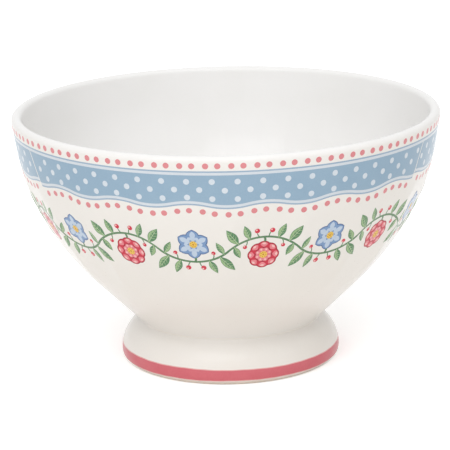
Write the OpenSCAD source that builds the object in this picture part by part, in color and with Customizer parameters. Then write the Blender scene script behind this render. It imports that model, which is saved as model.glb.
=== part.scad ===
// Footed breakfast bowl in glazed stoneware, with a printed rim band and garland.
// The bowl turns about the Z axis and stands on its foot ring at z = 0.
// Its front, the middle of the front transfer, faces -Y.
// Angles along the wall are leans, measured from upright: 0 is a vertical wall.

/* [Bowl] */
// Diameter over the rim
rim_d = 148; // [133:1:163]
// Height of the rim above the table
bowl_h = 88.5; // [80:0.5:98]
// Thickness of the glazed wall
wall_t = 3.6; // [3.2:0.1:4.4]
// Thickness of the glazed floor, crease to inside
floor_t = 4.6; // [4:0.1:7]
// Lean of the lower wall in degrees
lower_lean = 45; // [42:0.5:48]
// Lean of the upper wall in degrees
upper_lean = 9.3; // [7:0.1:12]
// Radius of the belly, between lower and upper wall
belly_r = 78; // [68:1:88]
// Radius of the inside turn from floor to wall
floor_turn_r = 30; // [22:1:36]
// Thickness of the fired glaze
glaze_t = 0.3; // [0.2:0.05:0.5]

/* [Flutes] */
// Number of flutes round the wall
flute_n = 18; // [12:1:24]
// Depth of a flute, where it is deepest
flute_t = 1.05; // [0.6:0.05:1.2]
// Lean of the belly where a flute is deepest
flute_mid_lean = 28.6; // [26:0.2:31]
// How much flatter a flute falls than the belly
flute_ease_r = 34; // [28:1:42]
// Angle of a flute's lower run-out to the lower wall
flute_low_angle = 6.5; // [5:0.5:8]
// Angle of a flute's upper run-out to the upper wall
flute_top_angle = 9.5; // [8:0.5:11]

/* [Foot] */
// Height of the crease between foot and bowl
foot_h = 14.3; // [11:0.1:18]
// Diameter of the foot at its widest
foot_d = 76.8; // [68:0.2:84]
// How far the foot flares out past the crease
foot_flare = 6.9; // [6:0.1:8]
// Height of the foot's widest ring
swell_z = 3; // [2.5:0.1:3.6]
// Radius of the foot's roll towards the table
under_r = 4.2; // [3.8:0.1:6]
// Width of the foot's ring, from its widest to the well's mouth
ring_w = 6.9; // [6.6:0.1:9]
// How far the well's side leans in, from mouth to ceiling
well_draft = 4.5; // [2:0.1:6]
// Thickness of the slip that joins foot and bowl
slip_t = 0.4; // [0.2:0.05:0.8]
// Height to which the foot is wiped bare of glaze
bare_z = 1.2; // [0.6:0.1:1.8]

/* [Rim band] */
// Thickness of a printed layer
print_t = 0.08; // [0.05:0.01:0.15]
// Drop from the rim to the rim dots' centres
rim_dots_drop = 2.9; // [2.4:0.1:3.4]
// Diameter of a pink dot
pink_dot_d = 2; // [1.6:0.1:2.4]
// Number of rim dots
rim_dot_n = 112; // [80:2:114]
// Drop from the rim to the upper line's top
upper_line_drop = 4.6; // [4.4:0.1:5]
// Width of the two thin lines
line_w = 0.5; // [0.3:0.05:0.6]
// Pale gap between a thin line and the band
line_gap = 0.9; // [0.6:0.05:1.1]
// Height of the band at a scallop's crest
band_h = 8.8; // [8.6:0.1:9.6]
// Drop of a scallop from crest to low
scallop_drop = 1.4; // [1:0.1:2.4]
// Distance from the band's edge to the scallop dots
scallop_dots_gap = 3.4; // [2.8:0.1:4]
// Scallop dots to a scallop
scallop_dot_n = 6; // [4:1:6]
// Scallops round the bowl
scallop_n = 18; // [12:1:20]
// Diameter of a white dot on the band
white_dot_d = 2; // [1.4:0.1:2.2]
// White dots in a row, round the bowl
white_dot_n = 56; // [45:1:57]
// Drop from the band's top to the first row of white dots
white_row_drop = 2.2; // [1.6:0.1:2.4]
// Drop from one row of white dots to the next
white_row_pitch = 2.85; // [2.4:0.05:3]
// Angle by which the dot rows are turned off the scallops
dot_turn_angle = -0.7; // [-2:0.1:2]
// Angle that the front transfer covers at mid height
front_angle = 124; // [110:1:130]
// Bare gap where two transfers meet
seam_gap = 0.6; // [0.4:0.1:1]
// Lean of a transfer's end
seam_lean = 21; // [0:1:30]

/* [Garland] */
// Height of the garland's middle
garland_z = 55.5; // [53:0.5:57]
// Rise of the stem over its middle line
stem_rise = 4.6; // [3.5:0.1:5]
// Width of the stem
stem_w = 0.8; // [0.5:0.1:1.2]
// Bare gap in the garland over a ridge between flutes
ridge_gap = 0.4; // [0.2:0.1:1]
// Length of a leaf
leaf_l = 7; // [5:0.1:8]
// Width of a leaf
leaf_w = 3; // [2:0.1:3.6]
// Distance of a blossom's middle from the garland's middle line
blossom_sink = 2.2; // [1.5:0.1:3]
// Diameter of a round blossom
round_blossom_d = 10.4; // [8:0.2:10.6]
// Petals of a round blossom
round_petal_n = 8; // [6:1:10]
// Diameter of a star blossom
star_blossom_d = 11.2; // [9:0.2:12]
// Petals of a star blossom
star_petal_n = 6; // [5:1:8]
// Width of a star petal
star_petal_w = 3.6; // [2.8:0.1:4.2]
// Diameter of a blossom's yellow eye
eye_d = 2.6; // [2:0.1:3]
// Diameter of a berry
berry_d = 1.7; // [1.2:0.1:2]
// Distance of a berry's middle from the stem
berry_reach = 2.6; // [2:0.1:3]

/* [Foot stripe] */
// Height of the stripe's lower edge
stripe_low_z = 2; // [1.9:0.1:2.4]
// Height of the stripe's upper edge
stripe_top_z = 5.3; // [4.5:0.1:6.5]

/* [Hidden] */
$fn = 180;
// Facets of a small dot or petal
small_fn = 32;
// Straight steps in the belly, in the inside's lower turn and in a flute
belly_steps = 12;
turn_steps = 10;
flute_steps = 10;
// Straight steps in a scallop's edge and in the foot stripe's height
scallop_steps = 12;
stripe_steps = 8;
// Overrun of cutting shapes past what they cut
cut = 2;
// Azimuth of the bowl's front
front = -90;

// Colours
clay_colour = [0.90, 0.86, 0.80];
slip_colour = [0.86, 0.82, 0.75];
glaze_colour = [0.95, 0.94, 0.91];
band_colour = [0.59, 0.69, 0.78];
line_colour = [0.66, 0.73, 0.80];
white_colour = [0.93, 0.95, 0.98];
pink_colour = [0.87, 0.50, 0.53];
stripe_colour = [0.84, 0.44, 0.47];
stem_colour = [0.33, 0.50, 0.33];
leaf_colour = [0.44, 0.62, 0.42];
red_colour = [0.78, 0.13, 0.22];
rose_colour = [0.93, 0.66, 0.70];
blue_colour = [0.40, 0.55, 0.78];
pale_blue_colour = [0.76, 0.84, 0.94];
yellow_colour = [0.95, 0.82, 0.35];

// The wall's outline: a cone, the belly's arc and a second cone, up to the rim.
// Points lie a distance d inside the glazed outer surface.
function normal(lean) = [cos(lean), -sin(lean)];
function along(lean) = [sin(lean), cos(lean)];
rim_r = rim_d / 2;
lip_r = wall_t / 2;
lip_c = [rim_r - lip_r, bowl_h - lip_r];
foot_r = foot_d / 2;
crease = [foot_r - foot_flare, foot_h];
belly_turn = belly_r * (normal(upper_lean) - normal(lower_lean));
wall_reach = lip_c + lip_r * normal(upper_lean) - crease - belly_turn;
lean_cross = along(lower_lean)[0] * along(upper_lean)[1] - along(upper_lean)[0] * along(lower_lean)[1];
lower_l = (wall_reach[0] * along(upper_lean)[1] - wall_reach[1] * along(upper_lean)[0]) / lean_cross;
upper_l = (along(lower_lean)[0] * wall_reach[1] - along(lower_lean)[1] * wall_reach[0]) / lean_cross;
belly_low = crease + lower_l * along(lower_lean);
belly_c = belly_low - belly_r * normal(lower_lean);
function arc_points(c, r, from, to, steps) =
    [for (i = [0 : steps]) c + r * normal(from + (to - from) * i / steps)];
// The wall's sides end just inside the lip's roll, so that they run cleanly into it
lip_seat_share = 0.99;
function rim_end(d) = lip_c + lip_seat_share * (lip_r - d) * normal(upper_lean);
belly_top = belly_c + belly_r * normal(upper_lean);

// Radius and lean of the unfluted wall at height z
function wall_r(z) =
    z < belly_low[1] ? crease[0] + (z - foot_h) * tan(lower_lean)
    : z < belly_top[1] ? belly_c[0] + sqrt(belly_r ^ 2 - (belly_c[1] - z) ^ 2)
    : belly_top[0] + (z - belly_top[1]) * tan(upper_lean);
function wall_lean(z) =
    z < belly_low[1] ? lower_lean : z < belly_top[1] ? asin((belly_c[1] - z) / belly_r) : upper_lean;

// A flute falls along a flatter arc, with straight run-outs that leave the wall
flute_pitch = 360 / flute_n;
flute_fall_r = belly_r + flute_ease_r;
flute_c = belly_c - (flute_ease_r + flute_t) * normal(flute_mid_lean);
flute_low_lean = lower_lean - flute_low_angle;
flute_top_lean = upper_lean + flute_top_angle;
flute_top = flute_c + flute_fall_r * normal(flute_top_lean);
// Radius of a flute's middle at height z
function flute_r(z) =
    z > flute_top[1] ? flute_top[0] + (z - flute_top[1]) * tan(flute_top_lean)
    : flute_c[0] + sqrt(flute_fall_r ^ 2 - (flute_c[1] - z) ^ 2);
// Angle from the middle of the nearest flute
function flute_turn(a) = a - flute_pitch * floor(a / flute_pitch) - flute_pitch / 2;
// Radius of the fluted wall at azimuth a from the front
function skin_r(a, z) = min(wall_r(z), flute_r(z) / cos(flute_turn(a)));
function skin_lean(a, z) = skin_r(a, z) < wall_r(z) ? asin((flute_c[1] - z) / flute_fall_r) : wall_lean(z);

// Everything inside the wall's outline, a distance d in from its skin
module envelope(d) {
    polygon(concat(
        [[0, foot_h], [crease[0] - d / cos(lower_lean), foot_h]],
        arc_points(belly_c, belly_r - d, lower_lean, upper_lean, belly_steps),
        [rim_end(d), rim_end(wall_t - d), [0, rim_end(wall_t - d)[1]]]
    ));
}

// The hollow inside the wall, its surface a distance d in from the outer skin
// The turn from floor to wall is no larger than the wall's lower cone has room for.
turn_reach = (lower_l - wall_t) * cos(lower_lean) + wall_t * sin(lower_lean) - floor_t;
turn_r = min(floor_turn_r, turn_reach / (1 - sin(lower_lean)));
turn_c_z = foot_h + floor_t + turn_r;
turn_in = wall_t + turn_r;
turn_run = (turn_c_z - foot_h - turn_in * sin(lower_lean)) / cos(lower_lean);
turn_c = [crease[0] - turn_in * cos(lower_lean) + turn_run * sin(lower_lean), turn_c_z];
module hollow(d) {
    above_rim = rim_end(d) + cut * along(upper_lean);
    polygon(concat(
        [[0, turn_c_z - turn_in + d]],
        arc_points(turn_c, turn_in - d, 90, lower_lean, turn_steps),
        arc_points(belly_c, belly_r - d, lower_lean, upper_lean, belly_steps),
        [above_rim, [0, above_rim[1]]]
    ));
}

// Section of the wall and floor with d taken off every surface
module wall_section(d) {
    difference() {
        envelope(d);
        hollow(wall_t - d);
    }
    translate(lip_c)
        circle(lip_r - d);
}

// A flat outline in radius and height, drawn out sideways through half a width each way
module sideways(half_width) {
    rotate([90, 0, 0])
        linear_extrude(height = 2 * half_width, center = true)
            children();
}

// What one flute takes away, for a skin a distance d in
module flute_cut(d) {
    fall = arc_points(flute_c, flute_fall_r - d, flute_low_lean, flute_top_lean, flute_steps);
    low = fall[0] - (lower_l + cut) * along(flute_low_lean);
    top = fall[flute_steps] + (upper_l + cut) * along(flute_top_lean);
    sideways(rim_r * tan(flute_pitch / 2) + cut)
        polygon(concat([low], fall, [top, [rim_r + cut, top[1]], [rim_r + cut, low[1]]]));
}

module flute_cuts(d) {
    for (i = [0 : flute_n - 1])
        rotate([0, 0, front + flute_pitch * (i + 0.5)])
            flute_cut(d);
}

// The foot's outline: an arc that flares from the crease, then rolls under
flare_z = foot_h - swell_z;
flare_r = (foot_flare ^ 2 + flare_z ^ 2) / (2 * foot_flare);
module foot_outline(d) {
    intersection() {
        union() {
            intersection() {
                translate([foot_r - flare_r, swell_z])
                    circle(flare_r - d);
                translate([foot_r - flare_r, swell_z])
                    square([flare_r, flare_z]);
            }
            square([foot_r - flare_r, foot_h]);
            intersection() {
                translate([foot_r - under_r, swell_z])
                    circle(under_r - d);
                translate([foot_r - under_r, 0])
                    square([under_r, swell_z]);
            }
            square([foot_r - under_r, swell_z]);
        }
        square([foot_r + cut, foot_h]);
    }
}

// The well under the foot, its side grown by d
well_r = foot_r - ring_w;
well_lean = atan(well_draft / foot_h);
module well_outline(d) {
    side = d / cos(well_lean);
    spread = cut * tan(well_lean);
    polygon([
        [0, -cut],
        [well_r + spread + side, -cut],
        [well_r - well_draft - spread + side, foot_h + cut],
        [0, foot_h + cut]
    ]);
}

// A level slice of a flat outline, from z = low to z = top
module slice(low, top) {
    intersection() {
        children();
        translate([0, low])
            square([rim_r + cut, top - low]);
    }
}

// The fluted wall and floor, with d taken off every surface
module fluted_wall(d) {
    difference() {
        rotate_extrude()
            wall_section(d);
        flute_cuts(d);
    }
}

module bowl_wall() {
    color(clay_colour)
        fluted_wall(glaze_t);
}

module foot_ring() {
    color(clay_colour)
        rotate_extrude()
            difference() {
                slice(0, foot_h - slip_t)
                    foot_outline(glaze_t);
                well_outline(glaze_t);
            }
}

module luting_slip() {
    color(slip_colour)
        rotate_extrude()
            difference() {
                slice(foot_h - slip_t, foot_h)
                    foot_outline(glaze_t);
                well_outline(glaze_t);
            }
}

module inside_glaze() {
    color(glaze_colour)
        rotate_extrude()
            intersection() {
                difference() {
                    wall_section(0);
                    wall_section(glaze_t);
                }
                hollow(lip_r);
            }
}

module outside_glaze() {
    color(glaze_colour)
        difference() {
            rotate_extrude()
                difference() {
                    wall_section(0);
                    hollow(lip_r);
                }
            flute_cuts(0);
            fluted_wall(glaze_t);
        }
}

module foot_glaze() {
    color(glaze_colour)
        rotate_extrude()
            slice(bare_z, foot_h)
                difference() {
                    foot_outline(0);
                    foot_outline(glaze_t);
                }
}

module well_glaze() {
    color(glaze_colour)
        rotate_extrude()
            difference() {
                slice(bare_z, foot_h)
                    well_outline(glaze_t);
                slice(0, foot_h - glaze_t)
                    well_outline(0);
            }
}

// Heights of the printed band, and the arcs of its scalloped edge.
// A scallop is drawn flat, with u across it and z up, and its crest at u = 0.
band_top_z = bowl_h - upper_line_drop - line_w - line_gap;
crest_z = band_top_z - band_h;
low_z = crest_z - scallop_drop;
scallop_pitch = 360 / scallop_n;
scallop_half = wall_r((crest_z + low_z) / 2) * sin(scallop_pitch / 2);
scallop_r = (scallop_half ^ 2 + scallop_drop ^ 2) / (4 * scallop_drop);
crest_c = [0, crest_z - scallop_r];
low_c = [scallop_half, low_z + scallop_r];
// Where crest and low arcs meet, on an edge that lies g below the band's
function arcs_meet(g) = crest_c + (scallop_r - g) / (2 * scallop_r) * (low_c - crest_c);
// Height, across a scallop, of an edge that lies g below the band's
function scallop_z(u, g) =
    abs(u) < arcs_meet(g)[0] ? crest_c[1] + sqrt((scallop_r - g) ^ 2 - u ^ 2)
    : low_c[1] - sqrt((scallop_r + g) ^ 2 - (scallop_half - abs(u)) ^ 2);

// The front transfer has its lows on the ridges between flutes, and the side
// transfers are set half a scallop round from it, so the edges don't meet at the seams
function on_front(a) = abs(a) < front_angle / 2;
function crest_turn(a) =
    on_front(a) ? a - scallop_pitch * floor(a / scallop_pitch) - scallop_pitch / 2
    : a - scallop_pitch * round(a / scallop_pitch);
function edge_z(a, g) = scallop_z(scallop_half * sin(crest_turn(a)) / sin(scallop_pitch / 2), g);
// Angle round the bowl of a length on the band
function band_turn(l) = l / wall_r(low_z) * 180 / PI;
seam_mid_z = band_top_z - band_h / 2;
function seam_a(z) = front_angle / 2 + band_turn((z - seam_mid_z) * tan(seam_lean));
function clear_of_seams(a, z, r) =
    abs(abs(a) - seam_a(z)) > band_turn(r + seam_gap) && 180 - abs(a) > band_turn(r + seam_gap);

// A flat outline, u across and z up, pushed out through the wall at azimuth a
module outward(a) {
    rotate([0, 0, front + a])
        rotate([90, 0, 90])
            translate([0, 0, crease[0]])
                linear_extrude(height = rim_r)
                    children();
}

// A film on the upper wall from z = low to z = top, from azimuth a0 to a1
module upper_film(low, top, a0, a1) {
    rotate([0, 0, front + a0])
        rotate_extrude(angle = a1 - a0)
            slice(low, top)
                difference() {
                    envelope(-print_t);
                    envelope(0);
                }
}

// Points across a scallop on an edge that lies g below the band's, run on a little
// way into the next scallops
wave_end = wall_r(crest_z) * sin(scallop_pitch / 2);
function wave(g) = [for (i = [0 : scallop_steps])
    let (u = wave_end * (2 * i / scallop_steps - 1)) [u, scallop_z(u, g)]];

// Everything between an edge that lies g below the band's and a level line at z = far
module past_edge(g, far) {
    polygon(concat(wave(g), [[wave_end, far], [-wave_end, far]]));
}

// What lies past a transfer's end: side 1 is past a growing azimuth, -1 the other way
module past_end(a, slope, side) {
    low = low_z - scallop_dots_gap;
    lean_u = (seam_mid_z - low) * tan(slope);
    over_u = (bowl_h - seam_mid_z) * tan(slope);
    far_u = scallop_half;
    outward(a)
        polygon([
            [-side * seam_gap / 2 - lean_u, low],
            [side * far_u - lean_u, low],
            [side * far_u + over_u, bowl_h],
            [-side * seam_gap / 2 + over_u, bowl_h]
        ]);
}

// The three transfers: side 0 is the front one, 1 the right one and -1 the left one.
// A film starts a little way past its transfer's slanted end, and is cut back to it.
end_run = band_turn((bowl_h - low_z) * tan(seam_lean));
function film_from(side) =
    side == 0 ? -front_angle / 2 - end_run : side > 0 ? front_angle / 2 - end_run : -180;
function film_to(side) = -film_from(-side);
function crests(side) = [for (i = [-scallop_n : scallop_n])
    let (a = (side == 0 ? i + 0.5 : i) * scallop_pitch)
    if (a > film_from(side) - scallop_pitch && a < film_to(side) + scallop_pitch) a];

module past_ends(side) {
    if (side == 0)
        for (end = [-1, 1])
            past_end(end * front_angle / 2, end * seam_lean, end);
    else {
        past_end(side * front_angle / 2, side * seam_lean, -side);
        past_end(180, 0, side);
    }
}

module band(side) {
    color(band_colour)
        difference() {
            upper_film(low_z, band_top_z, film_from(side), film_to(side));
            for (a = crests(side))
                outward(a)
                    past_edge(0, low_z - cut);
            past_ends(side);
        }
}

module band_front() {
    band(0);
}

module band_right() {
    band(1);
}

module band_left() {
    band(-1);
}

module lower_line() {
    drop = line_gap + line_w;
    color(line_colour)
        for (side = [-1, 0, 1])
            difference() {
                upper_film(low_z - drop, crest_z - line_gap / 2, film_from(side), film_to(side));
                for (a = crests(side))
                    outward(a) {
                        past_edge(line_gap, crest_z);
                        past_edge(drop, low_z - drop - cut);
                    }
                past_ends(side);
            }
}

module upper_line() {
    top = bowl_h - upper_line_drop;
    color(line_colour)
        upper_film(top - line_w, top, 0, 360);
}

// A flat round dot of diameter d, seated on the wall, or on the band, which spans the flutes
module dot(a, z, d, on_band) {
    lean = on_band ? wall_lean(z) : skin_lean(a, z);
    layers = on_band ? 1 : 0;
    rotate([0, 0, front + a])
        translate([on_band ? wall_r(z) : skin_r(a, z), 0, z])
            rotate([0, 90 + lean, 0])
                translate([0, 0, layers * print_t])
                    cylinder(d = d, h = print_t, $fn = small_fn);
}

// Azimuth of step i out of n round the bowl, from -180 to 180, with a step at the front
function step_a(i, n) = 360 * (i - floor(n / 2)) / n;
// Each pair of rim dots is over a white dot of the band's top row
rim_turn = dot_turn_angle + 180 / white_dot_n - 180 / rim_dot_n;
// Pink dots draw together in pairs, by this share of their pitch
pair_share = 0.036;
function paired_a(i, n) = step_a(i, n) + (i % 2 == floor(n / 2) % 2 ? 1 : -1) * pair_share * 360 / n;

module rim_dots() {
    color(pink_colour)
        for (i = [0 : rim_dot_n - 1])
            dot(paired_a(i, rim_dot_n) + rim_turn, bowl_h - rim_dots_drop, pink_dot_d, false);
}

module scallop_dots() {
    n = scallop_dot_n * scallop_n;
    color(pink_colour)
        for (i = [0 : n - 1]) {
            a = paired_a(i, n);
            z = edge_z(a, scallop_dots_gap);
            if (clear_of_seams(a, z, pink_dot_d / 2))
                dot(a, z, pink_dot_d, false);
        }
}

module band_dots() {
    color(white_colour)
        for (row = [0 : 2], i = [0 : white_dot_n - 1]) {
            a = step_a(row == 1 ? i : i - 0.5, white_dot_n) + dot_turn_angle;
            wave = edge_z(a, 0) - (crest_z + low_z) / 2;
            z = band_top_z - white_row_drop - row * (white_row_pitch - wave / 4);
            if (clear_of_seams(a, z, white_dot_d / 2))
                dot(a, z, white_dot_d, true);
        }
}

// The garland runs in a wave, one rise or dip to a flute. Its outlines are drawn
// flat for a rise, with u across the flute and v up from the garland's middle line.
panel_half = flute_r(garland_z) * tan(flute_pitch / 2);
stem_arc_r = (panel_half ^ 2 + stem_rise ^ 2) / (2 * stem_rise);
function stem_v(u) = sqrt(stem_arc_r ^ 2 - u ^ 2) - stem_arc_r + stem_rise;
// Leaves on a rise: place across half the flute, turn in degrees, size
leaf_shares = [
    [-0.74, 128, 1], [-0.42, 112, 0.8], [0.4, 66, 0.8], [0.72, 50, 1],
    [-0.86, -62, 0.72], [0.86, -118, 0.72]
];
// Berries on a rise: place across half the flute, turn in degrees
berry_shares = [[-0.14, 104], [0.12, 72]];
// A petal's roundness, a blossom's heart and a star's inner petals, against the blossom
petal_share = 0.36;
heart_share = 0.56;

// Prints an outline on every rise, or on every dip with the outline turned over,
// over some layers of print
module print_on_flutes(first, step, layers) {
    near_r = flute_fall_r + layers * print_t;
    near = arc_points(flute_c, near_r, flute_low_lean, flute_top_lean, flute_steps);
    far = arc_points(flute_c, near_r + print_t, flute_top_lean, flute_low_lean, flute_steps);
    for (i = [first : step : flute_n - 1]) {
        a = flute_pitch * (i + 0.5);
        intersection() {
            rotate([0, 0, front + a])
                sideways(panel_half - ridge_gap / 2)
                    polygon(concat(near, far));
            outward(a)
                translate([0, garland_z])
                    mirror([0, i % 2])
                        children();
        }
    }
}

module leaf_outline(l, w) {
    r = (l ^ 2 + w ^ 2) / (4 * w);
    intersection_for(side = [-1, 1])
        translate([l / 2, side * (r - w / 2)])
            circle(r, $fn = $fn);
}

module stem_outline() {
    intersection() {
        translate([0, stem_rise - stem_arc_r])
            difference() {
                circle(stem_arc_r + stem_w / 2);
                circle(stem_arc_r - stem_w / 2);
            }
        translate([-panel_half, -2 * stem_w])
            square([2 * panel_half, stem_rise + 3 * stem_w]);
    }
    stalk_low = round_blossom_d / 2 - blossom_sink - stem_w / 2;
    translate([-stem_w / 2, stalk_low])
        square([stem_w, stem_rise - stalk_low]);
    for (b = berry_shares)
        translate([b[0] * panel_half, stem_v(b[0] * panel_half)])
            rotate(b[1])
                translate([0, -stem_w / 4])
                    square([berry_reach, stem_w / 2]);
}

module leaf_outlines() {
    for (leaf = leaf_shares)
        translate([leaf[0] * panel_half, stem_v(leaf[0] * panel_half)])
            rotate(leaf[1])
                translate([stem_w / 2, 0])
                    leaf_outline(leaf[2] * leaf_l, leaf[2] * leaf_w);
}

module round_outline(d) {
    petal_r = petal_share * d / 2;
    circle(d / 2 - petal_r, $fn = small_fn);
    for (i = [0 : round_petal_n - 1])
        rotate(360 * i / round_petal_n)
            translate([d / 2 - petal_r, 0])
                circle(petal_r, $fn = small_fn);
}

module star_outline(d, w) {
    for (i = [0 : star_petal_n - 1])
        rotate(90 + 360 * i / star_petal_n)
            leaf_outline(d / 2, w);
    circle(eye_d / 2, $fn = small_fn);
}

module garland_stems() {
    color(stem_colour)
        print_on_flutes(0, 1, 0)
            stem_outline();
}

module garland_leaves() {
    color(leaf_colour)
        print_on_flutes(0, 1, 0)
            leaf_outlines();
}

module round_petals() {
    color(red_colour)
        print_on_flutes(0, 2, 1)
            translate([0, -blossom_sink])
                round_outline(round_blossom_d);
}

module round_hearts() {
    color(rose_colour)
        print_on_flutes(0, 2, 2)
            translate([0, -blossom_sink])
                rotate(180 / round_petal_n)
                    round_outline(heart_share * round_blossom_d);
}

module star_petals() {
    color(blue_colour)
        print_on_flutes(1, 2, 1)
            translate([0, -blossom_sink])
                star_outline(star_blossom_d, star_petal_w);
}

module star_hearts() {
    color(pale_blue_colour)
        print_on_flutes(1, 2, 2)
            translate([0, -blossom_sink])
                star_outline(heart_share * star_blossom_d, heart_share * star_petal_w);
}

module blossom_eyes() {
    color(yellow_colour)
        print_on_flutes(0, 1, 3)
            translate([0, -blossom_sink])
                circle(d = eye_d, $fn = small_fn);
}

module garland_berries() {
    color(red_colour)
        print_on_flutes(0, 1, 1)
            for (b = berry_shares)
                translate([b[0] * panel_half, stem_v(b[0] * panel_half)])
                    rotate(b[1])
                        translate([berry_reach, 0])
                            circle(d = berry_d, $fn = small_fn);
}

// Radius of the foot at height z, a distance d inside its skin
function foot_edge(z, d) =
    z > swell_z ? foot_r - flare_r + sqrt((flare_r - d) ^ 2 - (z - swell_z) ^ 2)
    : foot_r - under_r + sqrt((under_r - d) ^ 2 - (swell_z - z) ^ 2);

function backwards(points) = [for (i = [len(points) - 1 : -1 : 0]) points[i]];

module foot_stripe() {
    levels = [for (i = [0 : stripe_steps]) stripe_low_z + (stripe_top_z - stripe_low_z) * i / stripe_steps];
    skin = [for (z = levels) [foot_edge(z, 0), z]];
    film = [for (z = levels) [foot_edge(z, -print_t), z]];
    color(stripe_colour)
        rotate_extrude()
            polygon(concat(film, backwards(skin)));
}

bowl_wall();
foot_ring();
luting_slip();
inside_glaze();
outside_glaze();
foot_glaze();
well_glaze();
band_front();
band_right();
band_left();
band_dots();
upper_line();
lower_line();
rim_dots();
scallop_dots();
garland_stems();
garland_leaves();
round_petals();
round_hearts();
star_petals();
star_hearts();
blossom_eyes();
garland_berries();
foot_stripe();
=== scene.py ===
"""Footed breakfast bowl in glazed ceramic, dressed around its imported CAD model.

Lengths are in metres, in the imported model's frame: the bowl turns about Z, stands at
z = 0 and faces -Y. Azimuths are degrees round the bowl from its front, growing towards
+X. Leans are degrees from upright, so a wall that leans by 0 is vertical.
"""

import logging
import math
from dataclasses import dataclass, field
from enum import Enum
from functools import cache

import bpy
import numpy as np
from mathutils import Matrix, Vector


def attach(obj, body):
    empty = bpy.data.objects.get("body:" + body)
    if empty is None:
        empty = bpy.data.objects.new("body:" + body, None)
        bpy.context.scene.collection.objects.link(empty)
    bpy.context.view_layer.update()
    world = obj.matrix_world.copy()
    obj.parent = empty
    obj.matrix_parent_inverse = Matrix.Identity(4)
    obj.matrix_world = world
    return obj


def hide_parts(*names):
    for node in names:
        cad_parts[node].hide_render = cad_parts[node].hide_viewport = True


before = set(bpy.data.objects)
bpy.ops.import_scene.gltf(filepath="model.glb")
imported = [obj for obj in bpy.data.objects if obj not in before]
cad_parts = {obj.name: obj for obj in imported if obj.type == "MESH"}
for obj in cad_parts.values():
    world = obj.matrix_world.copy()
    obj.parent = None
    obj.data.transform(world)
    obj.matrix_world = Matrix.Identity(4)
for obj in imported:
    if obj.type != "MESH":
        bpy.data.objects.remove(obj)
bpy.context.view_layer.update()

log = logging.getLogger("bowl")

MM = 0.001
BODY = "root"
WHITE = (1.0, 1.0, 1.0, 1.0)
# A point with a smaller radius counts as on the axis
ON_AXIS = 1e-7

Colour = tuple[float, float, float, float]
Face = tuple[int, ...]
Socket = bpy.types.NodeSocket


def srgb(red: float, green: float, blue: float) -> Colour:
    """Turns a colour in sRGB steps of 255 into the linear colour that a shader takes.

    Args:
        red: red, 0 to 255.
        green: green, 0 to 255.
        blue: blue, 0 to 255.

    Returns:
        The linear colour with an alpha of 1.
    """
    def channel(value: float) -> float:
        """Turns one channel of 255 steps into its linear share."""
        share = value / 255.0
        return share / 12.92 if share <= 0.04045 else ((share + 0.055) / 1.055) ** 2.4

    return channel(red), channel(green), channel(blue), 1.0


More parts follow.
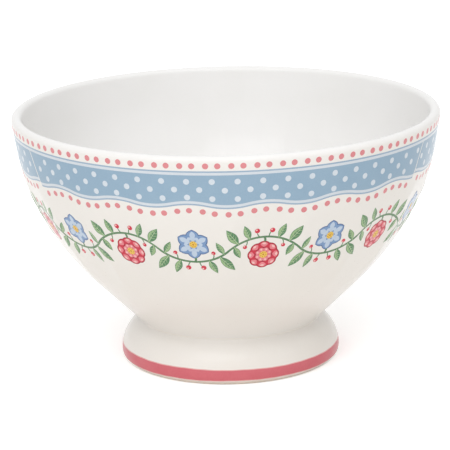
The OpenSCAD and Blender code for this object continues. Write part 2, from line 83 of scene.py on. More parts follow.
class NodeDesk:
    """Lays out the nodes of one material, or of the world round the bowl."""

    def __init__(self, owner: bpy.types.Material | bpy.types.World) -> None:
        """Clears the owner's nodes and adds an output.

        Args:
            owner: the material or the world.
        """
        owner.use_nodes = True
        self.owner = owner
        self.tree = owner.node_tree
        self.tree.nodes.clear()
        is_world = isinstance(owner, bpy.types.World)
        self.output = self.add("ShaderNodeOutputWorld" if is_world else "ShaderNodeOutputMaterial")

    def add(self, kind: str, **settings: object) -> bpy.types.Node:
        """Adds a node.

        Args:
            kind: the node's type.
            settings: the node's properties.

        Returns:
            The node.
        """
        node = self.tree.nodes.new(kind)
        for key, value in settings.items():
            setattr(node, key, value)
        return node

    def tune(self, node: bpy.types.Node, values: dict[str, object]) -> None:
        """Sets inputs of a node, by their names."""
        for name, value in values.items():
            node.inputs[name].default_value = value

    def wire(self, source: Socket, target: Socket) -> None:
        """Joins two sockets."""
        self.tree.links.new(source, target)

    def show(self, source: Socket) -> None:
        """Wires a shader to the output."""
        self.wire(source, self.output.inputs["Surface"])

    def noise(self, grain: float, detail: float = 2.0, rough: float = 0.5) -> Socket:
        """Adds noise in the object's own space.

        Args:
            grain: size of the noise's patches.
            detail: octaves of finer noise.
            rough: how strong the finer octaves are.

        Returns:
            The noise's socket, 0 to 1.
        """
        place = self.add("ShaderNodeTexCoord")
        noise = self.add("ShaderNodeTexNoise")
        self.tune(noise, {"Scale": 1.0 / grain, "Detail": detail, "Roughness": rough})
        self.wire(place.outputs["Object"], noise.inputs["Vector"])
        return noise.outputs["Fac"]

    def blend(self, share: Socket, low: Colour | Socket, high: Colour | Socket) -> Socket:
        """Mixes two colours.

        Args:
            share: how much of the second colour shows, 0 to 1.
            low: the first colour.
            high: the second colour.

        Returns:
            The mixed colour's socket.
        """
        node = self.add("ShaderNodeMix", data_type="RGBA")
        self.wire(share, node.inputs["Factor"])
        for colour, socket in ((low, node.inputs["A"]), (high, node.inputs["B"])):
            if isinstance(colour, Socket):
                self.wire(colour, socket)
            else:
                socket.default_value = colour
        return node.outputs["Result"]

    def mix(self, share: float, low: Socket, high: Socket) -> Socket:
        """Mixes two values.

        Args:
            share: how much of the second value counts, 0 to 1.
            low: the first value's socket.
            high: the second value's socket.

        Returns:
            The mixed value's socket.
        """
        node = self.add("ShaderNodeMix", data_type="FLOAT")
        self.tune(node, {"Factor": share})
        self.wire(low, node.inputs["A"])
        self.wire(high, node.inputs["B"])
        return node.outputs["Result"]

    def spread(
        self, source: Socket, low: float, high: float, start: float = 0.3, end: float = 0.7
    ) -> Socket:
        """Maps a value from one range to another.

        Args:
            source: the value's socket.
            low: what the range's start becomes.
            high: what the range's end becomes.
            start: the range's start. Most of a noise lies between 0.3 and 0.7.
            end: the range's end.

        Returns:
            The mapped value's socket.
        """
        node = self.add("ShaderNodeMapRange")
        self.tune(node, {"From Min": start, "From Max": end, "To Min": low, "To Max": high})
        self.wire(source, node.inputs["Value"])
        return node.outputs["Result"]

    def bump(self, height: Socket, distance: float, under: Socket | None = None) -> Socket:
        """Adds a bump, over another one if there is one.

        Args:
            height: the height's socket, 0 to 1.
            distance: depth of the bump.
            under: the normal that it adds to.

        Returns:
            The normal's socket.
        """
        node = self.add("ShaderNodeBump")
        self.tune(node, {"Distance": distance})
        self.wire(height, node.inputs["Height"])
        if under is not None:
            self.wire(under, node.inputs["Normal"])
        return node.outputs["Normal"]

    def pick_by_ray(self, soft: Socket, seen: Socket) -> Socket:
        """Shows one shader to the camera and to rays from the glaze, and another to soft light.

        Args:
            soft: the shader for soft light.
            seen: the shader for the camera and the glaze.

        Returns:
            The picked shader's socket.
        """
        path = self.add("ShaderNodeLightPath")
        share = path.outputs["Is Camera Ray"]
        for ray in ("Is Glossy Ray", "Is Transmission Ray"):
            either = self.add("ShaderNodeMath", operation="MAXIMUM")
            self.wire(share, either.inputs[0])
            self.wire(path.outputs[ray], either.inputs[1])
            share = either.outputs["Value"]
        pick = self.add("ShaderNodeMixShader")
        self.wire(share, pick.inputs["Fac"])
        self.wire(soft, pick.inputs[1])
        self.wire(seen, pick.inputs[2])
        return pick.outputs["Shader"]


@dataclass(frozen=True)
class Mottle:
    """How a glaze's colour drifts between its two tones: over pools and over a fine grain."""

    pool: float
    grain: float
    grain_share: float
    pool_detail: float = 3.0
    grain_detail: float = 2.0
    grain_rough: float = 0.6


GLAZE_MOTTLE = Mottle(22.0 * MM, 0.9 * MM, 0.25)
BAND_MOTTLE = Mottle(9.0 * MM, 0.45 * MM, 0.55)
LINE_MOTTLE = Mottle(9.0 * MM, 0.45 * MM, 0.5)
WHITE_DOT_MOTTLE = Mottle(5.0 * MM, 0.45 * MM, 0.5)
PINK_DOT_MOTTLE = Mottle(5.0 * MM, 0.35 * MM, 0.6)
BRUSH_MOTTLE = Mottle(8.0 * MM, 0.9 * MM, 0.4)
STEM_MOTTLE = Mottle(4.0 * MM, 0.5 * MM, 0.5)
LEAF_MOTTLE = Mottle(3.0 * MM, 0.5 * MM, 0.5)
PETAL_MOTTLE = Mottle(2.4 * MM, 0.4 * MM, 0.5)
SHADE_MOTTLE = Mottle(2.0 * MM, 0.4 * MM, 0.5)
EYE_MOTTLE = Mottle(1.6 * MM, 0.4 * MM, 0.5)


@dataclass(frozen=True)
class Glaze:
    """A clear fired glaze over pale clay or print.

    The colour drifts between two tones, and the coat's surface rolls a little, as
    fired glaze does.
    """

    name: str
    colour: Colour
    tone: Colour
    mottle: Mottle = GLAZE_MOTTLE
    ior: float = 1.5
    specular: float = 0.1
    roughness: float = 0.32
    roughness_drift: float = 0.15
    coat_weight: float = 0.42
    coat_ior: float = 1.4
    coat_roughness: float = 0.07
    roll_depth: float = 0.035 * MM
    roll_span: float = 16.0 * MM
    skin_depth: float = 0.0012 * MM
    skin_span: float = 1.6 * MM
    surface_detail: float = 1.0

    def material(self) -> bpy.types.Material:
        """Builds the glaze's material.

        Returns:
            The material.
        """
        desk = NodeDesk(bpy.data.materials.new(self.name))
        shader = desk.add("ShaderNodeBsdfPrincipled")
        mottle = self.mottle
        pools = desk.spread(desk.noise(mottle.pool, mottle.pool_detail), 0.0, 1.0)
        grain = desk.noise(mottle.grain, mottle.grain_detail, mottle.grain_rough)
        fine = desk.spread(grain, 0.0, 1.0)
        share = desk.mix(mottle.grain_share, pools, fine)
        desk.wire(desk.blend(share, self.colour, self.tone), shader.inputs["Base Color"])
        smooth = self.roughness * (1 - self.roughness_drift)
        coarse = self.roughness * (1 + self.roughness_drift)
        desk.wire(desk.spread(fine, smooth, coarse, 0.0, 1.0), shader.inputs["Roughness"])
        rolling = desk.bump(desk.noise(self.roll_span, self.surface_detail), self.roll_depth)
        skin = desk.bump(desk.noise(self.skin_span, self.surface_detail), self.skin_depth, rolling)
        desk.wire(skin, shader.inputs["Normal"])
        desk.wire(skin, shader.inputs["Coat Normal"])
        desk.tune(
            shader,
            {
                "IOR": self.ior,
                "Specular IOR Level": self.specular,
                "Coat Weight": self.coat_weight,
                "Coat IOR": self.coat_ior,
                "Coat Roughness": self.coat_roughness,
            },
        )
        desk.show(shader.outputs["BSDF"])
        return desk.owner


@dataclass(frozen=True)
class Biscuit:
    """Bare fired clay, as on the ring that the bowl stands on, with stains and dark specks."""

    name: str
    colour: Colour
    speck: Colour
    ior: float = 1.45
    roughness: float = 0.78
    roughness_drift: float = 0.1
    grain: float = 0.5 * MM
    grain_detail: float = 4.0
    grain_rough: float = 0.7
    grain_depth: float = 0.05 * MM
    speck_start: float = 0.62
    speck_end: float = 0.72
    stain: float = 7.0 * MM
    stain_detail: float = 3.0
    stain_share: float = 0.35

    def material(self) -> bpy.types.Material:
        """Builds the clay's material.

        Returns:
            The material.
        """
        desk = NodeDesk(bpy.data.materials.new(self.name))
        shader = desk.add("ShaderNodeBsdfPrincipled")
        grain = desk.noise(self.grain, self.grain_detail, self.grain_rough)
        specks = desk.spread(grain, 0.0, 1.0, self.speck_start, self.speck_end)
        stains = desk.spread(desk.noise(self.stain, self.stain_detail), 0.0, self.stain_share)
        stained = desk.blend(stains, self.colour, self.speck)
        desk.wire(desk.blend(specks, stained, self.speck), shader.inputs["Base Color"])
        smooth = self.roughness * (1 - self.roughness_drift)
        coarse = self.roughness * (1 + self.roughness_drift)
        desk.wire(desk.spread(grain, smooth, coarse), shader.inputs["Roughness"])
        desk.wire(desk.bump(grain, self.grain_depth), shader.inputs["Normal"])
        desk.tune(shader, {"IOR": self.ior})
        desk.show(shader.outputs["BSDF"])
        return desk.owner


@dataclass(frozen=True)
class Ground:
    """The plain pale floor: white to the camera and in the glaze, but for the bowl's shadow.

    A faint glow, lift, makes up for the light that it lacks. The soft light that it throws
    back at the bowl is warmer than its own colour.
    """

    name: str = "ground_white"
    colour: Colour = (0.93, 0.93, 0.93, 1.0)
    bounce: Colour = (0.95, 0.90, 0.83, 1.0)
    lift: float = 0.38

    def material(self) -> bpy.types.Material:
        """Builds the floor's material.

        Returns:
            The material.
        """
        desk = NodeDesk(bpy.data.materials.new(self.name))
        matt = desk.add("ShaderNodeBsdfDiffuse")
        desk.tune(matt, {"Color": self.colour})
        warm = desk.add("ShaderNodeBsdfDiffuse")
        desk.tune(warm, {"Color": self.bounce})
        glow = desk.add("ShaderNodeEmission")
        desk.tune(glow, {"Strength": self.lift})
        lifted = desk.add("ShaderNodeAddShader")
        desk.wire(matt.outputs["BSDF"], lifted.inputs[0])
        desk.wire(glow.outputs["Emission"], lifted.inputs[1])
        desk.show(desk.pick_by_ray(warm.outputs["BSDF"], lifted.outputs["Shader"]))
        return desk.owner


WHITE_GLAZE = Glaze("glaze_white", srgb(241, 240, 239), srgb(238, 237, 235))
FOOT_GLAZE = Glaze("glaze_foot", srgb(243, 240, 236), srgb(240, 236, 231))
CLAY = Biscuit("clay_biscuit", srgb(240, 232, 224), srgb(220, 206, 194))
SLIP = Biscuit("clay_slip", srgb(224, 212, 194), srgb(196, 180, 158))
BAND_BLUE = Glaze("print_band_blue", srgb(153, 181, 204), srgb(145, 174, 199), BAND_MOTTLE)
LINE_BLUE = Glaze("print_line_blue", srgb(152, 177, 202), srgb(162, 185, 208), LINE_MOTTLE)
GAP_PALE = Glaze("print_gap_pale", srgb(217, 225, 234), srgb(209, 219, 230), LINE_MOTTLE)
DOT_WHITE = Glaze("print_dot_white", srgb(219, 228, 238), srgb(206, 218, 231), WHITE_DOT_MOTTLE)
DOT_PINK = Glaze("print_dot_pink", srgb(225, 147, 153), srgb(219, 136, 144), PINK_DOT_MOTTLE)
STRIPE_PINK = Glaze("paint_stripe_pink", srgb(217, 116, 126), srgb(211, 104, 116), BRUSH_MOTTLE)
STRIPE_EDGE = Glaze("paint_stripe_edge", srgb(233, 182, 181), srgb(229, 170, 171), BRUSH_MOTTLE)
STEM_GREEN = Glaze("print_stem_green", srgb(110, 148, 110), srgb(84, 124, 92), STEM_MOTTLE)
LEAF_LIGHT = Glaze("print_leaf_light", srgb(163, 193, 146), srgb(142, 178, 132), LEAF_MOTTLE)
LEAF_DARK = Glaze("print_leaf_dark", srgb(104, 149, 108), srgb(84, 130, 96), LEAF_MOTTLE)
LEAF_VEIN = Glaze("print_leaf_vein", srgb(196, 216, 178), srgb(180, 204, 164), LEAF_MOTTLE)
RED_DEEP = Glaze("print_red_deep", srgb(172, 34, 58), srgb(154, 26, 50), SHADE_MOTTLE)
RED_BRIGHT = Glaze("print_red_bright", srgb(214, 64, 84), srgb(202, 48, 72), PETAL_MOTTLE)
ROSE = Glaze("print_rose", srgb(236, 146, 156), srgb(228, 124, 138), SHADE_MOTTLE)
ROSE_PALE = Glaze("print_rose_pale", srgb(248, 208, 206), srgb(243, 190, 192), SHADE_MOTTLE)
BLUE_DEEP = Glaze("print_blue_deep", srgb(84, 112, 160), srgb(72, 98, 148), SHADE_MOTTLE)
BLUE_MID = Glaze("print_blue_mid", srgb(134, 166, 208), srgb(118, 150, 198), PETAL_MOTTLE)
BLUE_PALE = Glaze("print_blue_pale", srgb(200, 216, 236), srgb(184, 204, 230), SHADE_MOTTLE)
YELLOW = Glaze("print_yellow", srgb(244, 212, 104), srgb(236, 196, 84), EYE_MOTTLE)
OCHRE = Glaze("print_ochre", srgb(206, 150, 62), srgb(190, 132, 50), EYE_MOTTLE)


def heading(lean: float) -> np.ndarray:
    """Radius and height along a wall that leans by lean degrees, per metre up it."""
    return np.array([math.sin(math.radians(lean)), math.cos(math.radians(lean))])


def outward(lean: float) -> np.ndarray:
    """Radius and height of the outward normal of a wall that leans by lean degrees."""
    return np.array([math.cos(math.radians(lean)), -math.sin(math.radians(lean))])


def arc(centre: np.ndarray, radius: float, start: float, end: float, steps: int) -> np.ndarray:
    """Points along an arc in radius and height.

    Args:
        centre: the arc's centre.
        radius: the arc's radius.
        start: first angle, in degrees up from level and outward.
        end: last angle.
        steps: straight steps in it.

    Returns:
        The steps + 1 points.
    """
    turns = np.radians(np.linspace(start, end, steps + 1))
    return centre + radius * np.stack([np.cos(turns), np.sin(turns)], axis=1)


@dataclass
class WallSkin:
    """The bowl's glazed outer wall: cone, belly and cone, with flutes pressed into it.

    A flute's middle follows an arc that lies flute_t inside the belly where that leans by
    flute_mid_lean. It ends where it leans by flute_entry less than the lower cone, and by
    flute_exit more than the upper one, and runs straight from there. The glaze rounds the
    flutes' ridges by ridge_soft. Slopes are measured over a step of probe.
    """

    rim_r: float = 74.0 * MM
    height: float = 88.5 * MM
    wall_t: float = 3.6 * MM
    lower_lean: float = 45.0
    upper_lean: float = 9.3
    belly_r: float = 78.0 * MM
    crease_r: float = 31.5 * MM
    crease_z: float = 14.3 * MM
    flute_n: int = 18
    flute_t: float = 1.05 * MM
    flute_ease_r: float = 34.0 * MM
    flute_mid_lean: float = 28.6
    flute_entry: float = 6.5
    flute_exit: float = 9.5
    ridge_soft: float = 0.11 * MM
    probe: float = 0.05 * MM
    lip_r: float = field(init=False)
    lip_c: np.ndarray = field(init=False)
    belly_c: np.ndarray = field(init=False)
    belly_low: np.ndarray = field(init=False)
    belly_top: np.ndarray = field(init=False)
    flute_c: np.ndarray = field(init=False)

    def __post_init__(self) -> None:
        """Works out where the cones, the belly's arc and the flute's arc meet."""
        self.lip_r = self.wall_t / 2
        self.lip_c = np.array([self.rim_r - self.lip_r, self.height - self.lip_r])
        crease = np.array([self.crease_r, self.crease_z])
        turn = self.belly_r * (outward(self.upper_lean) - outward(self.lower_lean))
        reach = self.lip_c + self.lip_r * outward(self.upper_lean) - crease - turn
        slopes = np.stack([heading(self.lower_lean), heading(self.upper_lean)], axis=1)
        lower_l = np.linalg.solve(slopes, reach)[0]
        self.belly_low = crease + lower_l * heading(self.lower_lean)
        self.belly_c = self.belly_low - self.belly_r * outward(self.lower_lean)
        self.belly_top = self.belly_c + self.belly_r * outward(self.upper_lean)
        middle = outward(self.flute_mid_lean)
        self.flute_c = self.belly_c - (self.flute_ease_r + self.flute_t) * middle

    @property
    def pitch(self) -> float:
        """Angle from one flute to the next."""
        return 360.0 / self.flute_n

    def plain_r(self, z: np.ndarray) -> np.ndarray:
        """Radius of the wall without flutes.

        Args:
            z: heights.

        Returns:
            The radii.
        """
        lower = self.crease_r + (z - self.crease_z) * math.tan(math.radians(self.lower_lean))
        drop = np.clip(self.belly_c[1] - z, -self.belly_r, self.belly_r)
        belly = self.belly_c[0] + np.sqrt(self.belly_r**2 - drop**2)
        upper = self.belly_top[0] + (z - self.belly_top[1]) * math.tan(math.radians(self.upper_lean))
        return np.where(z < self.belly_low[1], lower, np.where(z < self.belly_top[1], belly, upper))

    def flute_r(self, z: np.ndarray) -> np.ndarray:
        """Radius of a flute's middle: an arc that eases into straight ends.

        Args:
            z: heights.

        Returns:
            The radii.
        """
        radius = self.belly_r + self.flute_ease_r
        low_lean, top_lean = self.lower_lean - self.flute_entry, self.upper_lean + self.flute_exit
        low = self.flute_c + radius * outward(low_lean)
        top = self.flute_c + radius * outward(top_lean)
        drop = np.clip(self.flute_c[1] - z, -radius, radius)
        fall = self.flute_c[0] + np.sqrt(radius**2 - drop**2)
        under = low[0] - (low[1] - z) * math.tan(math.radians(low_lean))
        over = top[0] + (z - top[1]) * math.tan(math.radians(top_lean))
        return np.where(z < low[1], under, np.where(z > top[1], over, fall))

    def radius(self, azimuth: np.ndarray, z: np.ndarray) -> np.ndarray:
        """Radius of the fluted wall, its ridges and edges softened by the glaze.

        Args:
            azimuth: degrees from the front.
            z: heights.

        Returns:
            The radii.
        """
        turn = np.mod(azimuth, self.pitch) - self.pitch / 2
        middle = self.flute_r(z)
        near = middle / np.cos(np.radians(turn))
        following = middle / np.cos(np.radians(self.pitch - np.abs(turn)))
        walls = np.stack(np.broadcast_arrays(self.plain_r(z), near, following))
        least = walls.min(axis=0)
        return least - self.ridge_soft * np.log(np.exp((least - walls) / self.ridge_soft).sum(axis=0))

    def points(self, azimuth: np.ndarray, z: np.ndarray, lift: np.ndarray) -> np.ndarray:
        """Places on the wall, lifted off it along its normal.

        Args:
            azimuth: degrees from the front.
            z: heights.
            lift: distance off the wall.

        Returns:
            One point a row.
        """
        step = self.probe
        azimuth, z, lift = np.broadcast_arrays(azimuth, z, lift)
        r = self.radius(azimuth, z)
        turn = math.degrees(step / self.rim_r)
        swing = self.radius(azimuth + turn, z) - self.radius(azimuth - turn, z)
        around = swing / (2 * math.radians(turn) * r)
        upward = (self.radius(azimuth, z + step) - self.radius(azimuth, z - step)) / (2 * step)
        size = np.sqrt(1 + around**2 + upward**2)
        return placed(azimuth, r + lift / size, z - lift * upward / size, -lift * around / size)


def placed(
    azimuth: np.ndarray, r: np.ndarray, z: np.ndarray, sideways: np.ndarray | float = 0.0
) -> np.ndarray:
    """Turns places round the bowl into X, Y and Z.

    Args:
        azimuth: degrees from the front.
        r: radii.
        z: heights.
        sideways: steps sideways, towards growing azimuths.

    Returns:
        One point a row.
    """
    turn = np.radians(azimuth)
    x = r * np.sin(turn) + sideways * np.cos(turn)
    y = -r * np.cos(turn) + sideways * np.sin(turn)
    return np.stack(np.broadcast_arrays(x, y, z), axis=-1).reshape(-1, 3)


@dataclass
class FootSkin:
    """The foot's glazed outside: a flare that swells towards the table and rolls under."""

    foot_r: float = 38.4 * MM
    neck_r: float = 31.5 * MM
    foot_h: float = 14.3 * MM
    swell_z: float = 3.0 * MM
    under_r: float = 4.2 * MM
    flare_r: float = field(init=False)

    def __post_init__(self) -> None:
        """Works out the flare's radius."""
        across, up = self.foot_r - self.neck_r, self.foot_h - self.swell_z
        self.flare_r = (across**2 + up**2) / (2 * across)

    def radius(self, z: np.ndarray, inset: float = 0.0) -> np.ndarray:
        """Radius of the foot.

        Args:
            z: heights.
            inset: depth under the foot's skin.

        Returns:
            The radii.
        """
        rise = np.minimum(np.abs(z - self.swell_z), self.flare_r)
        fall = np.minimum(np.abs(self.swell_z - z), self.under_r - inset)
        flare = self.foot_r - self.flare_r + np.sqrt((self.flare_r - inset) ** 2 - rise**2)
        under = self.foot_r - self.under_r + np.sqrt((self.under_r - inset) ** 2 - fall**2)
        return np.where(z > self.swell_z, flare, under)

    def points(self, azimuth: np.ndarray, z: np.ndarray, lift: np.ndarray) -> np.ndarray:
        """Places on the foot, lifted off it along its normal.

        Args:
            azimuth: degrees from the front.
            z: heights.
            lift: distance off the foot.

        Returns:
            One point a row.
        """
        azimuth, z, lift = np.broadcast_arrays(azimuth, z, lift)
        over = z > self.swell_z
        centre = np.where(over, self.foot_r - self.flare_r, self.foot_r - self.under_r)
        reach = np.where(over, self.flare_r, self.under_r)
        r = self.radius(z)
        return placed(azimuth, r + lift * (r - centre) / reach, z + lift * (z - self.swell_z) / reach)


def mesh_piece(
    name: str,
    points: np.ndarray,
    faces: list[Face],
    materials: list[bpy.types.Material],
    slots: list[int] | None = None,
    crisp: float = 40.0,
) -> bpy.types.Object:
    """Makes a smooth-shaded mesh object.

    Args:
        name: the piece's name.
        points: one point a row.
        faces: each face's points, counterclockwise from outside.
        materials: the piece's materials.
        slots: each face's material, or none for the first.
        crisp: edges that turn by more degrees stay sharp.

    Returns:
        The object, linked to the scene.
    """
    mesh = bpy.data.meshes.new(name)
    mesh.from_pydata(points.tolist(), [], faces)
    for material in materials:
        mesh.materials.append(material)
    if slots is not None:
        mesh.polygons.foreach_set("material_index", slots)
    mesh.shade_smooth()
    mesh.set_sharp_from_angle(angle=math.radians(crisp))
    mesh.validate()
    mesh.update()
    piece = bpy.data.objects.new(name, mesh)
    bpy.context.scene.collection.objects.link(piece)
    return piece


def settle(piece: bpy.types.Object, slot: str, *nodes: str) -> None:
    """Sets a piece on the bowl's body.

    Args:
        piece: the piece.
        slot: not used.
        nodes: the CAD nodes that it stands in for.
    """
    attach(piece, BODY)
    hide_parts(*nodes)
    log.info("%s: %d faces, for %s", piece.name, len(piece.data.polygons), ", ".join(nodes))


def lathe(rings: list[np.ndarray]) -> tuple[np.ndarray, list[Face]]:
    """Joins rings of points into a closed skin, the last ring to the first.

    Args:
        rings: rings of points round the axis, or single points on it, so that the
            outside is on the right going along them.

    Returns:
        The points and the faces.
    """
    starts = np.concatenate([[0], np.cumsum([len(ring) for ring in rings])])
    faces: list[Face] = []
    for k in range(len(rings)):
        after = (k + 1) % len(rings)
        a, b = int(starts[k]), int(starts[after])
        count, following = len(rings[k]), len(rings[after])
        if count == 1 and following == 1:
            continue
        for i in range(max(count, following)):
            j = (i + 1) % max(count, following)
            if count == 1:
                faces.append((a, b + j, b + i))
            elif following == 1:
                faces.append((a + i, a + j, b))
            else:
                faces.append((a + i, a + j, b + j, b + i))
    return np.concatenate(rings), faces


def turned(path: np.ndarray, columns: int) -> list[np.ndarray]:
    """Rings round the axis, one for each point of a path in radius and height."""
    azimuth = np.arange(columns) * 360.0 / columns
    return [placed(azimuth, r, z) if r > ON_AXIS else np.array([[0.0, 0.0, z]]) for r, z in path]


@cache
def made(finish: Glaze | Biscuit | Ground) -> bpy.types.Material:
    """Builds a finish's material once."""
    return finish.material()


class Film:
    """Thin closed films of print or paint on a skin, gathered into one mesh.

    A film's top lies a little off the skin, and its underside, at UNDER, just inside it.
    A plate follows the skin by rings of points that lie up to RING apart. A dot takes the
    wall's lean, measured over a step of PROBE to each side.
    """

    UNDER = -0.02 * MM
    RING = 0.8 * MM
    PROBE = 0.5 * MM
    DOT_CORNERS = 18

    def __init__(self, skin: WallSkin | FootSkin) -> None:
        """Starts with no film.

        Args:
            skin: the skin that the films lie on.
        """
        self.skin = skin
        self.places: list[np.ndarray] = []
        self.faces: list[Face] = []
        self.slots: list[int] = []
        self.count = 0

    def keep(self, spots: np.ndarray, lift: float) -> int:
        """Keeps spots at a lift.

        Args:
            spots: azimuths and heights, one spot a row.
            lift: their distance off the skin.

        Returns:
            The first spot's number.
        """
        start = self.count
        self.places.append(np.column_stack([spots, np.full(len(spots), lift)]))
        self.count += len(spots)
        return start

    def face(self, corners: np.ndarray, slot: int) -> None:
        """Adds faces, one a row of corner numbers."""
        self.faces.extend(tuple(row) for row in corners.tolist())
        self.slots.extend([slot] * len(corners))

    def hem(self, border: np.ndarray, top: int, under: int, slot: int) -> None:
        """Joins a film's top and underside along a counterclockwise border."""
        after = np.roll(border, -1)
        self.face(np.stack([under + border, under + after, top + after, top + border], axis=1), slot)

    def grid(
        self, azimuth: np.ndarray, z: np.ndarray, lift: float, slot: int = 0, wraps: bool = False
    ) -> None:
        """Lays a film over a grid, its rows going up and its columns round the bowl.

        Args:
            azimuth: the grid's azimuths.
            z: the grid's heights.
            lift: distance of the film's top off the skin.
            slot: the film's material.
            wraps: whether the last column joins the first.
        """
        rows, columns = azimuth.shape
        spots = np.stack([azimuth, z], axis=-1).reshape(-1, 2)
        top, under = self.keep(spots, lift), self.keep(spots, self.UNDER)
        number = np.arange(rows * columns).reshape(rows, columns)
        if wraps:
            number = np.concatenate([number, number[:, :1]], axis=1)
        corners = (number[:-1, :-1], number[:-1, 1:], number[1:, 1:], number[1:, :-1])
        quads = np.stack(corners, axis=-1).reshape(-1, 4)
        self.face(top + quads, slot)
        self.face(under + quads[:, ::-1], slot)
        if wraps:
            self.hem(number[0, :-1], top, under, slot)
            self.hem(number[-1, :-1][::-1], top, under, slot)
        else:
            border = [number[0, :-1], number[:-1, -1], number[-1, :0:-1], number[:0:-1, 0]]
            self.hem(np.concatenate(border), top, under, slot)

    def plate(self, outline: np.ndarray, middle: np.ndarray, lift: float, slot: int = 0) -> None:
        """Lays a film inside an outline, all of which its middle can see.

        Args:
            outline: counterclockwise spots in azimuth and height.
            middle: a spot inside it.
            lift: distance of the film's top off the skin.
            slot: the film's material.
        """
        away = outline - middle
        across = np.radians(away[:, 0]) * self.skin.radius(outline[:, 0], outline[:, 1])
        steps = max(1, math.ceil(float(np.hypot(across, away[:, 1]).max()) / self.RING))
        border = np.arange(len(outline))
        after = np.roll(border, -1)
        top = self.keep(outline, lift)
        ring = top
        for k in range(1, steps):
            inner = self.keep(middle + away * (1 - k / steps), lift)
            band = [ring + border, ring + after, inner + after, inner + border]
            self.face(np.stack(band, axis=1), slot)
            ring = inner
        peak = self.keep(middle[None, :], lift)
        self.face(np.stack([ring + border, ring + after, np.full(len(border), peak)], axis=1), slot)
        under = self.keep(outline, self.UNDER)
        pit = self.keep(middle[None, :], self.UNDER)
        self.face(np.stack([under + after, under + border, np.full(len(border), pit)], axis=1), slot)
        self.hem(border, top, under, slot)

    def disc(self, azimuth: float, z: float, diameter: float, lift: float) -> None:
        """Lays a round dot on the bowl's wall.

        Args:
            azimuth: its middle's degrees from the front.
            z: its middle's height.
            diameter: its diameter.
            lift: distance of its top off the wall.
        """
        at = np.array([azimuth, azimuth])
        low, high = self.skin.radius(at, np.array([z - self.PROBE, z + self.PROBE]))
        lean = math.atan2(high - low, 2 * self.PROBE)
        turn = np.radians(np.arange(self.DOT_CORNERS) * 360.0 / self.DOT_CORNERS)
        across = diameter / 2 * np.cos(turn) / float(self.skin.radius(at, np.array([z, z]))[0])
        upward = diameter / 2 * np.sin(turn) * math.cos(lean)
        outline = np.stack([azimuth + np.degrees(across), z + upward], axis=1)
        self.plate(outline, np.array([azimuth, z]), lift)

    def piece(self, name: str, *finishes: Glaze) -> bpy.types.Object:
        """Makes the films' mesh object.

        Args:
            name: the piece's name.
            finishes: the finish of each film slot.

        Returns:
            The object, linked to the scene.
        """
        places = np.concatenate(self.places)
        points = self.skin.points(places[:, 0], places[:, 1], places[:, 2])
        return mesh_piece(name, points, self.faces, [made(finish) for finish in finishes], self.slots)


